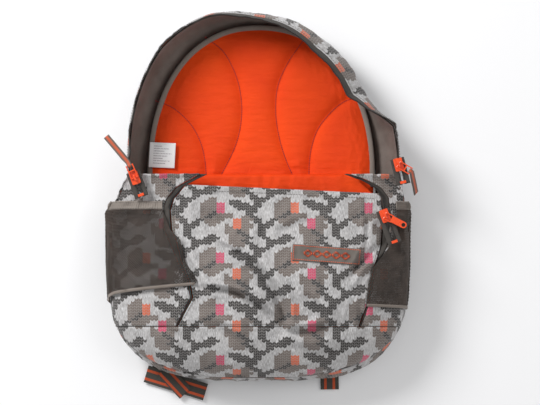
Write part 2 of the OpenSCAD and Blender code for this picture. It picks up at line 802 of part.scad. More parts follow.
adjuster_web(1);  // adjuster_web_right
anchor_tab(-1);  // anchor_tab_left
anchor_tab(1);  // anchor_tab_right
web_tail_left();
web_tail_right();
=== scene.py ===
import json
import math

import bmesh
import bpy
import numpy as np
from mathutils import Matrix, Vector, noise

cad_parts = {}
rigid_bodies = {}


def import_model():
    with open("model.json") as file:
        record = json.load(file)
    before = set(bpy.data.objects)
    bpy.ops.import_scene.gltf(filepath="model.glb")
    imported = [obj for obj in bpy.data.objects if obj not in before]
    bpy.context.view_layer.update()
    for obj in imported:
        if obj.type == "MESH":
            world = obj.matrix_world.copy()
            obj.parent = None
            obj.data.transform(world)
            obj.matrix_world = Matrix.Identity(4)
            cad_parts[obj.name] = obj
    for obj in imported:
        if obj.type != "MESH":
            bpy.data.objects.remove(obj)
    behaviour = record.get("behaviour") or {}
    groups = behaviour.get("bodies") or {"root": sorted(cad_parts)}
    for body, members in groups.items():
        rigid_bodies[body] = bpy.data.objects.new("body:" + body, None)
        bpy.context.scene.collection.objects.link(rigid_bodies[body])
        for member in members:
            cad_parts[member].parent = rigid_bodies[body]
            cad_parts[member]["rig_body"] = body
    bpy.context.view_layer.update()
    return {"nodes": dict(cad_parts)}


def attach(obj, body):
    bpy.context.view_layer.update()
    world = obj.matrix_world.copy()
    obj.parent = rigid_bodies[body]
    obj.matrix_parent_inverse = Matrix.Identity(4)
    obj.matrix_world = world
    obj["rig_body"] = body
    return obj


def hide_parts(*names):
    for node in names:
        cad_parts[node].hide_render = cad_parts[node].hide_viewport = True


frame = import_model()
scene = bpy.context.scene
mm = 0.001  # the dictionaries hold millimetres, the meshes hold metres


# camera, light and table
def setUpStudio():
    view = dict(elevation=86, distance=2200, lens=113.0, target=(15.6, -11, 45), floor=3000)
    cam = bpy.data.cameras.new("studioCamera")
    cam.lens, cam.sensor_width = view["lens"], 36
    cam.clip_start, cam.clip_end = 0.05, 20
    camObject = bpy.data.objects.new("studioCamera", cam)
    scene.collection.objects.link(camObject)
    up = math.radians(view["elevation"])
    target = Vector(view["target"]) * mm
    back = Vector((0, -math.cos(up), math.sin(up)))
    camObject.location = target + back * view["distance"] * mm
    camObject.rotation_mode = "QUATERNION"
    camObject.rotation_quaternion = (-back).to_track_quat("-Z", "Y")
    scene.camera = camObject

    lamps = [
        ("keyLight", (-1.35, 1.15, 1.25), 0.9, 44),
        ("fillLight", (1.5, 0.3, 1.5), 1.4, 9),
        ("lowLight", (0.1, -1.9, 1.2), 1.6, 5),
    ]
    for name, place, size, power in lamps:
        lamp = bpy.data.lights.new(name, "AREA")
        lamp.shape, lamp.size, lamp.energy = "DISK", size, power
        lampObject = bpy.data.objects.new(name, lamp)
        scene.collection.objects.link(lampObject)
        lampObject.location = place
        lampObject.rotation_mode = "QUATERNION"
        lampObject.rotation_quaternion = (target - Vector(place)).to_track_quat("-Z", "Y")

    world = bpy.data.worlds.new("softRoom")
    world.use_nodes = True
    world.node_tree.nodes["Background"].inputs["Color"].default_value = (1, 1, 1, 1)
    world.node_tree.nodes["Background"].inputs["Strength"].default_value = 0.42
    scene.world = world
    scene.view_settings.view_transform = "Standard"

    floorMesh = bpy.data.meshes.new("floor")
    half = view["floor"] * mm
    corners = [(-half, -half, 0), (half, -half, 0), (half, half, 0), (-half, half, 0)]
    floorMesh.from_pydata(corners, [], [(0, 1, 2, 3)])
    floor = bpy.data.objects.new("floor", floorMesh)
    scene.collection.objects.link(floor)
    white = bpy.data.materials.new("paperFloor")
    white.use_nodes = True
    white.node_tree.nodes["Principled BSDF"].inputs["Base Color"].default_value = (0.93, 0.93, 0.94, 1)
    white.node_tree.nodes["Principled BSDF"].inputs["Roughness"].default_value = 0.9
    floorMesh.materials.append(white)
    print("studio ready")


setUpStudio()


# small tools for meshes
def mix(a, b, t):
    return a + (b - a) * t


def meshObject(name, points, faces, uvs=None):
    # points in mm
    mesh = bpy.data.meshes.new(name)
    inMetres = [tuple(p) for p in np.asarray(points, float) * mm]
    mesh.from_pydata(inMetres, [], [tuple(int(i) for i in f) for f in faces])
    if uvs is not None:
        layer = mesh.uv_layers.new(name="UVMap")
        loopPoint = np.zeros(len(mesh.loops), np.int32)
        mesh.loops.foreach_get("vertex_index", loopPoint)
        layer.data.foreach_set("uv", (np.asarray(uvs, float) * mm)[loopPoint].astype(np.float32).ravel())
    mesh.polygons.foreach_set("use_smooth", [True] * len(mesh.polygons))
    mesh.update()
    made = bpy.data.objects.new(name, mesh)
    scene.collection.objects.link(made)
    return made


def faceAway(obj, ref):
    # turns all the faces if most of them look towards the point ref
    mesh = obj.data
    n = len(mesh.polygons)
    centre, normal, area = np.zeros(n * 3), np.zeros(n * 3), np.zeros(n)
    mesh.polygons.foreach_get("center", centre)
    mesh.polygons.foreach_get("normal", normal)
    mesh.polygons.foreach_get("area", area)
    away = centre.reshape(-1, 3) - np.array(ref, float) * mm
    if float((np.einsum("ij,ij->i", away, normal.reshape(-1, 3)) * area).sum()) < 0:
        mesh.flip_normals()
    return obj


def gridPiece(name, grid, uv=None, closed=False, ref=(0, -20, 0), thick=None):
    # a sheet over grid[i][j], thickened inwards
    grid = np.asarray(grid, float)
    n, m = grid.shape[:2]
    if uv is None:
        uv = gridUv(grid, closed)
    if closed:  # a seam column of its own keeps the pattern's coordinates apart
        grid = np.concatenate([grid, grid[:1]])
        n += 1
    faces = [(i * m + j, (i + 1) * m + j, (i + 1) * m + j + 1, i * m + j + 1)
             for i in range(n - 1) for j in range(m - 1)]
    made = meshObject(name, grid.reshape(-1, 3), faces, np.asarray(uv).reshape(-1, 2))
    if closed:
        weld(made)
    faceAway(made, ref)
    if thick:
        solid = made.modifiers.new("thickness", "SOLIDIFY")
        solid.thickness, solid.offset = thick * mm, -1
        solid.use_quality_normals = True
    return made


def weld(obj):
    bm = bmesh.new()
    bm.from_mesh(obj.data)
    bmesh.ops.remove_doubles(bm, verts=bm.verts, dist=1e-6)
    bm.to_mesh(obj.data)
    bm.free()


def gridUv(grid, closed=False):
    # arc lengths along both ways of a grid, from its middle
    if closed:
        grid = np.concatenate([grid, grid[:1]])
    n, m = grid.shape[:2]
    du = np.zeros((n, m))
    dv = np.zeros((n, m))
    du[1:] = np.cumsum(np.linalg.norm(np.diff(grid, axis=0), axis=2), axis=0)
    dv[:, 1:] = np.cumsum(np.linalg.norm(np.diff(grid, axis=1), axis=2), axis=1)
    du = du.mean(axis=1, keepdims=True).repeat(m, 1) if closed else du - du[n // 2]
    dv = dv.mean(axis=0, keepdims=True).repeat(n, 0)
    return np.stack([du, dv], axis=2)


def closedSolid(name, rings, uv=None):
    # a tube through equal rings of points, closed at both ends
    rings = np.asarray(rings, float)
    n, m = rings.shape[:2]
    points = np.concatenate([rings.reshape(-1, 3), rings[0].mean(0)[None], rings[-1].mean(0)[None]])
    faces = [(i * m + j, i * m + (j + 1) % m, (i + 1) * m + (j + 1) % m, (i + 1) * m + j)
             for i in range(n - 1) for j in range(m)]
    faces += [(n * m, (j + 1) % m, j) for j in range(m)]
    faces += [(n * m + 1, (n - 1) * m + j, (n - 1) * m + (j + 1) % m) for j in range(m)]
    if uv is None:
        along = np.concatenate([[0], np.cumsum(np.linalg.norm(np.diff(rings.mean(1), axis=0), axis=1))])
        around = np.concatenate([[0], np.cumsum(np.linalg.norm(np.diff(rings[n // 2], axis=0), axis=1))])
        uv = np.stack(np.broadcast_arrays(around[None, :], along[:, None]), axis=2).reshape(-1, 2)
    uv = np.concatenate([uv, [uv[0], uv[-1]]])
    made = meshObject(name, points, faces, uv)
    outwards(made)
    return made


def outwards(obj):
    bm = bmesh.new()
    bm.from_mesh(obj.data)
    bmesh.ops.recalc_face_normals(bm, faces=bm.faces)
    bm.to_mesh(obj.data)
    bm.free()


def crumple(points, size, amount, seed=0.0, stretch=(1, 1, 1)):
    # small sharp folds: how far each point moves along its normal
    at = np.asarray(points, float).reshape(-1, 3) * np.array(stretch) / size
    shift = Vector((seed * 7.3, seed * 3.1, seed))
    out = np.empty(len(at))
    for k, p in enumerate(at):
        q = Vector(p) + shift
        soft = noise.noise(q)
        sharp = 1 - abs(noise.noise(q * 1.9 + Vector((3, 1, 7)))) * 2.4
        out[k] = 0.55 * soft + 0.45 * sharp * abs(sharp)
    return (out * amount).reshape(np.asarray(points).shape[:-1])


def normalsOf(grid, closed=False):
    if closed:
        du = np.roll(grid, -1, 0) - np.roll(grid, 1, 0)
    else:
        du = np.gradient(grid, axis=0)
    dv = np.gradient(grid, axis=1)
    n = np.cross(du, dv)
    return n / np.maximum(np.linalg.norm(n, axis=2, keepdims=True), 1e-9)


def smoothLine(points, count=60):
    # a smooth line through a few points
    p = np.asarray(points, float)
    ends = np.concatenate([[2 * p[0] - p[1]], p, [2 * p[-1] - p[-2]]])
    out = []
    for t in np.linspace(0, len(p) - 1 - 1e-9, count):
        i = int(t)
        f = t - i
        a, b, c, d = ends[i], ends[i + 1], ends[i + 2], ends[i + 3]
        bend = (2 * a - 5 * b + 4 * c - d) * f * f + (3 * b - a - 3 * c + d) * f ** 3
        out.append(0.5 * (2 * b + (c - a) * f + bend))
    return np.array(out)


def placePiece(obj, body, material, slotName, *nodes):
    obj.data.materials.clear()
    obj.data.materials.append(material)
    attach(obj, body)
    if nodes:
        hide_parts(*nodes)
    return obj


# small tools for node trees


def newMaterial(name, roughness=0.85, **sockets):
    made = bpy.data.materials.new(name)
    made.use_nodes = True
    tree = made.node_tree
    shader = tree.nodes["Principled BSDF"]
    shader.inputs["Roughness"].default_value = roughness
    for key, value in sockets.items():
        shader.inputs[key.replace("_", " ")].default_value = value
    return made, tree, shader


def plug(tree, value, socket):
    if isinstance(value, (int, float)):
        socket.default_value = value
    elif isinstance(value, tuple):
        socket.default_value = value if len(value) == len(socket.default_value) else (*value, 1)
    else:
        tree.links.new(value, socket)


def calc(tree, way, a, b=0.0, c=0.0):
    node = tree.nodes.new("ShaderNodeMath")
    node.operation = way
    for value, socket in zip((a, b, c), node.inputs):
        plug(tree, value, socket)
    return node.outputs[0]


def blendColour(tree, share, a, b, way="MIX"):
    node = tree.nodes.new("ShaderNodeMix")
    node.data_type, node.blend_type = "RGBA", way
    plug(tree, share, node.inputs[0])
    plug(tree, a, node.inputs[6])
    plug(tree, b, node.inputs[7])
    return node.outputs[2]


def between(tree, value, low, high, toLow=0.0, toHigh=1.0):
    node = tree.nodes.new("ShaderNodeMapRange")
    for k, v in enumerate((value, low, high, toLow, toHigh)):
        plug(tree, v, node.inputs[k])
    return node.outputs[0]


def coords(tree, kind="Object"):
    return tree.nodes.new("ShaderNodeTexCoord").outputs[kind]


def scaled(tree, vector, size):
    node = tree.nodes.new("ShaderNodeMapping")
    plug(tree, vector, node.inputs["Vector"])
    node.inputs["Scale"].default_value = size
    return node.outputs[0]


def noiseOf(tree, vector, scale, detail=3.0, rough=0.55):
    node = tree.nodes.new("ShaderNodeTexNoise")
    plug(tree, vector, node.inputs["Vector"])
    node.inputs["Scale"].default_value = scale
    node.inputs["Detail"].default_value = detail
    node.inputs["Roughness"].default_value = rough
    return node.outputs["Fac"]


def split(tree, vector):
    node = tree.nodes.new("ShaderNodeSeparateXYZ")
    plug(tree, vector, node.inputs[0])
    return node.outputs


def bumpOn(tree, shader, height, strength, distance):
    node = tree.nodes.new("ShaderNodeBump")
    node.inputs["Strength"].default_value = strength
    node.inputs["Distance"].default_value = distance
    plug(tree, height, node.inputs["Height"])
    tree.links.new(node.outputs[0], shader.inputs["Normal"])


def weave(tree, uv, warp, weft):
    # plain weave: a height from 0 to 1, thread spacings in metres
    parts = split(tree, uv)
    u = calc(tree, "MULTIPLY", parts[0], math.pi / warp)
    v = calc(tree, "MULTIPLY", parts[1], math.pi / weft)
    one = calc(tree, "MULTIPLY", calc(tree, "SINE", u), calc(tree, "COSINE", v))
    return between(tree, one, -1, 1)


# materials
knitChart = """
.tttkk....kkkkkk..
.ttttkk...kkkkk...
..ttt.kk..kk......
......kkkkk...tt..
.kkk...kkk...ttt..
.kkkkk.kk...ttttpp
..kkkkkkk...ttttpp
...kkkkk....ttttpp
.....kkk....tttkpp
tt...kk.....ttkktt
tt..ttkk....tkkttt
..pptttkk..kkttttt
..pptt.kk.kk.tttt.
t.ppttt.kkkk..tt..
ttppttt.kkk.......
tttktt..kk........
tttkkt..kk........
.tttkk..kk....kk..
.ttttkk..kk..kkkk.
"""


def knitPrint():
    # printed canvas: knitted motifs, each stitch a small V
    look = dict(cellWide=0.0053, cellHigh=0.0035, ground=(0.50, 0.485, 0.48), charcoal=(0.026, 0.023, 0.022),
                taupe=(0.145, 0.116, 0.100), pink=(0.56, 0.055, 0.13), coral=(0.64, 0.13, 0.055))
    made, tree, shader = newMaterial("knitPrint", 0.9)
    shader.inputs["Sheen Weight"].default_value = 0.15
    uv = coords(tree, "UV")
    parts = split(tree, uv)
    across = calc(tree, "DIVIDE", calc(tree, "ADD", parts[0], 3.0), look["cellWide"])
    upwards = calc(tree, "DIVIDE", calc(tree, "ADD", parts[1], 3.0), look["cellHigh"])
    inCell = calc(tree, "FRACT", across)
    vee = calc(tree, "ABSOLUTE", calc(tree, "SUBTRACT", calc(tree, "MULTIPLY", inCell, 2), 1))
    slanted = calc(tree, "SUBTRACT", upwards, calc(tree, "MULTIPLY", vee, 0.6))
    row = calc(tree, "FLOOR", slanted)
    inRow = calc(tree, "FRACT", slanted)
    rows = knitChart.split()
    column = calc(tree, "MODULO", calc(tree, "FLOOR", across), len(rows[0]))
    rowNow = calc(tree, "MODULO", row, len(rows))
    place = calc(tree, "DIVIDE", calc(tree, "ADD", column, 0.5), len(rows[0]))
    shade = {".": 0.0, "k": 0.3, "t": 0.6, "p": 0.9}
    total = 0.0
    for k, letters in enumerate(reversed(rows)):
        ramp = tree.nodes.new("ShaderNodeValToRGB")
        ramp.color_ramp.interpolation = "CONSTANT"
        stops = ramp.color_ramp.elements
        stops.remove(stops[1])
        before = None
        for i, letter in enumerate(letters):
            if letter == before:
                continue
            stop = stops[0] if i == 0 else stops.new(i / len(letters))
            stop.color = (shade[letter],) * 3 + (1,)
            before = letter
        tree.links.new(place, ramp.inputs[0])
        isRow = calc(tree, "COMPARE", rowNow, float(k), 0.4)
        total = calc(tree, "MULTIPLY_ADD", isRow, ramp.outputs[0], total)
    ink = total

    # heather ground with upright dashes
    dashes = noiseOf(tree, scaled(tree, uv, (1100, 190, 1)), 1.0, 2.0)
    clouds = noiseOf(tree, scaled(tree, uv, (60, 26, 1)), 1.0, 3.0)
    ground = blendColour(tree, between(tree, dashes, 0.36, 0.66), (0.27, 0.258, 0.255), (0.66, 0.655, 0.66))
    ground = blendColour(tree, between(tree, clouds, 0.35, 0.7, 0.0, 0.55), ground, look["ground"])
    repeat = calc(tree, "FLOOR", calc(tree, "DIVIDE", calc(tree, "FLOOR", across), len(rows[0])))
    warm = blendColour(tree, calc(tree, "MODULO", repeat, 2), look["pink"], look["coral"])
    isInk = calc(tree, "GREATER_THAN", ink, 0.15)
    colour = blendColour(tree, calc(tree, "GREATER_THAN", ink, 0.45), look["charcoal"], look["taupe"])
    colour = blendColour(tree, calc(tree, "GREATER_THAN", ink, 0.75), colour, warm)
    fade = noiseOf(tree, scaled(tree, uv, (420, 260, 1)), 1.0, 2.0)
    colour = blendColour(tree, between(tree, fade, 0.45, 0.72, 0.0, 0.3), colour, (0.25, 0.235, 0.225))
    # gaps between the stitches
    edge = calc(tree, "ABSOLUTE", calc(tree, "SUBTRACT", inRow, 0.5))
    side = calc(tree, "ABSOLUTE", calc(tree, "SUBTRACT", vee, 0.5))
    gap = calc(tree, "MAXIMUM", between(tree, edge, 0.32, 0.47), between(tree, side, 0.38, 0.49))
    colour = blendColour(tree, calc(tree, "MULTIPLY", gap, 0.5), colour, (0.42, 0.40, 0.39))
    ground = blendColour(tree, calc(tree, "MULTIPLY", gap, 0.22), ground, (0.30, 0.29, 0.285))
    shown = blendColour(tree, isInk, ground, colour)
    tree.links.new(shown, shader.inputs["Base Color"])
    height = calc(tree, "ADD", weave(tree, uv, 0.0006, 0.0006),
                  calc(tree, "MULTIPLY", noiseOf(tree, coords(tree), 90.0), 2.0))
    bumpOn(tree, shader, height, 0.35, 0.0004)
    return made


def plainCloth(name, dark, light, warp=0.0006, weft=0.0006, roughness=0.8, sheen=0.1, blotch=40.0, fold=0.35):
    made, tree, shader = newMaterial(name, roughness)
    shader.inputs["Sheen Weight"].default_value = sheen
    uv = coords(tree, "UV")
    cloud = noiseOf(tree, coords(tree), blotch, 4.0)
    thread = weave(tree, uv, warp, weft)
    shown = blendColour(tree, between(tree, cloud, 0.3, 0.7), dark, light)
    # painted shade: the gaps between the woven threads are darkened toward a darker copy of the cloth colour
    threadGapShade = between(tree, thread, 0.0, 0.5, 0.22, 0.0)
    shown = blendColour(tree, threadGapShade, shown, tuple(0.55 * c for c in dark))
    tree.links.new(shown, shader.inputs["Base Color"])
    varied = between(tree, cloud, 0.3, 0.7, roughness - 0.06, roughness + 0.06)
    tree.links.new(varied, shader.inputs["Roughness"])
    height = calc(tree, "ADD", thread, calc(tree, "MULTIPLY", noiseOf(tree, coords(tree), 130.0, 3.0), 1.5))
    bumpOn(tree, shader, height, fold, 0.0004)
    return made


def orangeLining():
    # thin woven lining with fine puckers across the quilting
    made, tree, shader = newMaterial("orangeLining", 0.62)
    shader.inputs["Specular IOR Level"].default_value = 0.25
    uv = coords(tree, "UV")
    cloud = noiseOf(tree, coords(tree), 14.0, 4.0)
    shown = blendColour(tree, between(tree, cloud, 0.3, 0.7), (0.80, 0.048, 0.0), (0.92, 0.068, 0.0))
    thread = weave(tree, uv, 0.00045, 0.00045)
    # painted shade: the gaps between the woven threads are darkened toward a deeper orange
    shown = blendColour(tree, between(tree, thread, 0.0, 0.5, 0.25, 0.0), shown, (0.52, 0.018, 0.0))
    tree.links.new(shown, shader.inputs["Base Color"])
    pucker = noiseOf(tree, scaled(tree, coords(tree), (22, 130, 22)), 1.0, 2.0)
    height = calc(tree, "ADD", calc(tree, "MULTIPLY", pucker, 3.0), calc(tree, "MULTIPLY", thread, 0.35))
    bumpOn(tree, shader, height, 0.6, 0.0011)
    return made


def enamel():
    # orange enamel on die-cast zinc, thin at the worn edges
    made, tree, shader = newMaterial("orangeEnamel", 0.3)
    shader.inputs["Coat Weight"].default_value = 0.5
    shader.inputs["Coat Roughness"].default_value = 0.12
    wear = noiseOf(tree, coords(tree), 420.0, 5.0, 0.65)
    tint = noiseOf(tree, coords(tree), 160.0, 2.0)
    paint = blendColour(tree, tint, (0.80, 0.052, 0.006), (0.95, 0.10, 0.012))
    shown = blendColour(tree, between(tree, wear, 0.66, 0.72), paint, (0.46, 0.20, 0.13))
    tree.links.new(shown, shader.inputs["Base Color"])
    tree.links.new(between(tree, wear, 0.4, 0.7, 0.24, 0.5), shader.inputs["Roughness"])
    bumpOn(tree, shader, noiseOf(tree, coords(tree), 900.0, 2.0), 0.12, 0.0002)
    return made


def ribbedCloth(name, dark, light, rib=0.0016, fold=0.6):
    # cords running along U
    made, tree, shader = newMaterial(name, 0.88)
    shader.inputs["Sheen Weight"].default_value = 0.15
    uv = coords(tree, "UV")
    parts = split(tree, uv)
    ribs = calc(tree, "ABSOLUTE", calc(tree, "SINE", calc(tree, "MULTIPLY", parts[1], math.pi / rib)))
    thread = calc(tree, "ABSOLUTE", calc(tree, "SINE", calc(tree, "MULTIPLY", parts[0], math.pi / 0.0009)))
    # painted shade and light: dark in the grooves between the cords, light on their crests
    shown = blendColour(tree, ribs, dark, light)
    worn = between(tree, noiseOf(tree, coords(tree), 60.0), 0.3, 0.7, 0.0, 0.3)
    shown = blendColour(tree, worn, shown, dark)
    tree.links.new(shown, shader.inputs["Base Color"])
    bumpOn(tree, shader, calc(tree, "ADD", ribs, calc(tree, "MULTIPLY", thread, 0.3)), fold, 0.0005)
    return made


def twillTape(name, dark, light):
    made, tree, shader = newMaterial(name, 0.82)
    uv = coords(tree, "UV")
    parts = split(tree, uv)
    slant = calc(tree, "ADD", parts[0], calc(tree, "MULTIPLY", parts[1], 0.6))
    twill = calc(tree, "ABSOLUTE", calc(tree, "SINE", calc(tree, "MULTIPLY", slant, math.pi / 0.0011)))
    # painted shade and light: the twill's hollows dark, its raised diagonals light
    shown = blendColour(tree, twill, dark, light)
    tree.links.new(shown, shader.inputs["Base Color"])
    bumpOn(tree, shader, twill, 0.5, 0.0003)
    return made


def stripedWebbing(name, width, stripes, base=(0.047, 0.043, 0.036), stripe=(0.60, 0.085, 0.022)):
    # herringbone webbing; U runs across it from one edge, V along it
    made, tree, shader = newMaterial(name, 0.8)
    shader.inputs["Sheen Weight"].default_value = 0.1
    parts = split(tree, coords(tree, "UV"))
    zig = calc(tree, "PINGPONG", parts[0], 0.0028)
    slant = calc(tree, "ADD", calc(tree, "MULTIPLY", zig, 1.0), parts[1])
    yarn = calc(tree, "ABSOLUTE", calc(tree, "SINE", calc(tree, "MULTIPLY", slant, math.pi / 0.0015)))
    # painted shade and light: shaded and lit copies of the webbing colour follow the herringbone yarns
    shown = blendColour(tree, yarn, tuple(0.5 * c for c in base), tuple(1.5 * c for c in base))
    for place in stripes:
        far = calc(tree, "ABSOLUTE", calc(tree, "SUBTRACT", parts[0], place * width))
        inside = calc(tree, "LESS_THAN", far, 0.0017)
        # painted shade: the stripe is darker in the hollows between its yarns
        bright = blendColour(tree, yarn, tuple(0.55 * c for c in stripe), stripe)
        shown = blendColour(tree, inside, shown, bright)
    tree.links.new(shown, shader.inputs["Base Color"])
    bumpOn(tree, shader, yarn, 0.6, 0.0004)
    return made


def spacerMesh():
    # knitted spacer fabric with small round holes
    made, tree, shader = newMaterial("spacerMesh", 0.92)
    uv = coords(tree, "UV")
    cells = tree.nodes.new("ShaderNodeTexVoronoi")
    cells.inputs["Scale"].default_value = 330.0
    cells.inputs["Randomness"].default_value = 0.12
    tree.links.new(uv, cells.inputs["Vector"])
    hole = between(tree, cells.outputs["Distance"], 0.22, 0.38)
    # painted shade: the holes of the mesh are coloured near black
    shown = blendColour(tree, hole, (0.008, 0.008, 0.008), (0.075, 0.07, 0.064))
    tree.links.new(shown, shader.inputs["Base Color"])
    bumpOn(tree, shader, hole, 0.8, 0.0007)
    return made


def smoothPlastic(name, colour, roughness=0.42):
    made, tree, shader = newMaterial(name, roughness)
    grain = noiseOf(tree, coords(tree), 700.0, 3.0)
    shown = blendColour(tree, grain, tuple(0.8 * c for c in colour), tuple(1.25 * c for c in colour))
    tree.links.new(shown, shader.inputs["Base Color"])
    varied = between(tree, grain, 0.3, 0.7, roughness - 0.07, roughness + 0.1)
    tree.links.new(varied, shader.inputs["Roughness"])
    bumpOn(tree, shader, grain, 0.25, 0.0002)
    return made


def labelSatin():
    # white satin label; plain bars stand for its printed lines
    made, tree, shader = newMaterial("labelSatin", 0.45)
    parts = split(tree, coords(tree, "UV"))
    lines = calc(tree, "FRACT", calc(tree, "DIVIDE", parts[1], 0.0032))
    line = calc(tree, "GREATER_THAN", lines, 0.62)
    which = calc(tree, "FLOOR", calc(tree, "DIVIDE", parts[1], 0.0032))
    look = dict(start=-0.0115, shortest=-0.001, varies=0.015, low=0.004, high=0.031)
    uneven = calc(tree, "FRACT", calc(tree, "MULTIPLY", which, 0.377))
    reach = calc(tree, "ADD", calc(tree, "MULTIPLY", uneven, look["varies"]), look["shortest"])
    inside = calc(tree, "MULTIPLY", calc(tree, "LESS_THAN", parts[0], reach),
                  calc(tree, "GREATER_THAN", parts[0], look["start"]))
    high = calc(tree, "MULTIPLY", calc(tree, "GREATER_THAN", parts[1], look["low"]),
                calc(tree, "LESS_THAN", parts[1], look["high"]))
    speckle = noiseOf(tree, scaled(tree, coords(tree, "UV"), (1500, 300, 1)), 1.0, 2.0)
    dots = calc(tree, "GREATER_THAN", speckle, 0.42)
    bar = calc(tree, "MULTIPLY", calc(tree, "MULTIPLY", line, inside), calc(tree, "MULTIPLY", high, dots))
    shown = blendColour(tree, calc(tree, "MULTIPLY", bar, 0.75), (0.80, 0.80, 0.80), (0.30, 0.26, 0.29))
    tree.links.new(shown, shader.inputs["Base Color"])
    bumpOn(tree, shader, weave(tree, coords(tree, "UV"), 0.0004, 0.0004), 0.2, 0.0002)
    return made


printCloth = knitPrint()
liningOrange = orangeLining()
liningBrown = plainCloth("brownLining", (0.125, 0.093, 0.078), (0.185, 0.145, 0.125),
                         0.0005, 0.0005, 0.62, 0.15)
seamTape = ribbedCloth("seamTape", (0.16, 0.13, 0.11), (0.27, 0.23, 0.20), 0.0011, 0.4)
zipTape = twillTape("zipTape", (0.030, 0.026, 0.023), (0.075, 0.066, 0.058))
coilNylon = smoothPlastic("coilNylon", (0.030, 0.028, 0.026), 0.38)
enamelOrange = enamel()
bindingCloth = ribbedCloth("pocketBinding", (0.17, 0.142, 0.122), (0.36, 0.315, 0.28))
netYarn = plainCloth("netYarn", (0.036, 0.026, 0.020), (0.078, 0.056, 0.045), 0.0005, 0.0005, 0.75, 0.1)
badgeCloth = plainCloth("badgeCloth", (0.125, 0.107, 0.093), (0.175, 0.152, 0.134), 0.0008, 0.0008)
orangeThread = plainCloth("orangeThread", (0.72, 0.085, 0.018), (0.95, 0.16, 0.045),
                          0.0007, 0.0007, 0.55, 0.2)
redThread = plainCloth("redThread", (0.33, 0.006, 0.004), (0.46, 0.012, 0.006), 0.0007, 0.0007, 0.6)
greyThread = plainCloth("greyThread", (0.11, 0.10, 0.09), (0.17, 0.155, 0.14), 0.0007, 0.0007, 0.7)
satinWhite = labelSatin()
tabCloth = stripedWebbing("tabCloth", 0.008, (0.5,), (0.13, 0.098, 0.082), (0.62, 0.12, 0.05))
strapCloth = plainCloth("strapCloth", (0.045, 0.041, 0.037), (0.072, 0.066, 0.06), 0.0007, 0.0007)
webbingDark = stripedWebbing("webbingDark", 0.025, ())
webbingStriped = stripedWebbing("webbingStriped", 0.024, (0.27, 0.73))
meshBlack = spacerMesh()
foamGrey = plainCloth("foamGrey", (0.55, 0.55, 0.53), (0.68, 0.68, 0.66), 0.002, 0.002, 0.9)
blackPlastic = smoothPlastic("blackPlastic", (0.012, 0.012, 0.012))
print("materials ready")


# the shape of the pack, as the frame has it
pack = dict(halfBack=143, rightReach=8, archTop=222, archStart=25, archPower=2.2,
            backLow=232, lowStart=120, lowPower=4,
            sideX=192, baseLow=238, basePower=2.6, mouthLeft=168, mouthRight=184, foldZ=40, mouthZ=58,
            gussetWidth=58, bulge=9, edgeHeight=64, crest=92, crestPower=2.3, wallOut=4.6, wallZ=16.5,
            baseSeam=-172, liningTop=28.3)


def quarter(deg, w, h, p):
    a = np.radians(deg)
    return w * np.maximum(np.cos(a), 0) ** (2 / p), h * np.maximum(np.sin(a), 0) ** (2 / p)


def ringStations(low=120, side=40, arch=160):
    half = [(0, 90 - 90 * i / low) for i in range(low)] + [(1, mix(-120, 25, i / side)) for i in range(side)]
    half += [(2, 90 * i / arch) for i in range(arch + 1)]
    ring = [(1, z, t) for z, t in half] + [(-1, z, t) for z, t in reversed(half[1:-1])]
    return [np.array(c, float) for c in zip(*ring)]


def panelPoints(side, zone, t, grow):
    k = pack
    w = k["halfBack"] + grow + np.where(side > 0, k["rightReach"], 0)
    ax, ay = quarter(t, w, k["archTop"] - k["archStart"] + grow, k["archPower"])
    bx, by = quarter(t, w, k["backLow"] - k["lowStart"] + grow, k["lowPower"])
    x = np.where(zone == 1, w, np.where(zone == 2, ax, bx))
    y = np.where(zone == 1, t, np.where(zone == 2, k["archStart"] + ay, -k["lowStart"] - by))
    return side * x, y


def lowShare(y):
    low = np.clip((-pack["lowStart"] - y) / (pack["baseLow"] - pack["lowStart"]), 0, 1)
    return (1 - low ** pack["basePower"]) ** (1 / pack["basePower"])


def halfX(side, y):
    left = np.interp(y, [-25, 25], [pack["sideX"], pack["mouthLeft"]])
    right = np.interp(y, [-25, 25], [pack["sideX"], pack["mouthRight"]])
    return np.where(side < 0, left, right) * lowShare(y)


def edgeZ(y):
    return np.interp(y, [-45, 25], [pack["foldZ"], pack["mouthZ"]])


def shellZ(x, y):
    rise = np.interp(y, [-110, 0], [pack["crest"], pack["edgeHeight"]]) - edgeZ(y)
    share = np.clip(np.abs(x) / np.maximum(halfX(np.sign(x), y), 1e-6), 0, 1)
    return edgeZ(y) + rise * lowShare(y) * (1 - share ** pack["crestPower"]) ** (1 / pack["crestPower"])


def frontZipX(side, y):
    if side < 0:
        return np.interp(y, [-172, -135, -113, -90, -61, -48, -23, -8, 8, 24],
                         [-104, -84, -88, -98, -106, -112, -114, -110, -96, -66])
    return np.interp(y, [-172, -145, -98, -68, -34, -6, 6, 14, 24],
                     [130, 140, 150, 160, 163, 161, 152, 138, 112])


def edgeAt(x):
    return 4 - 0.045 * x


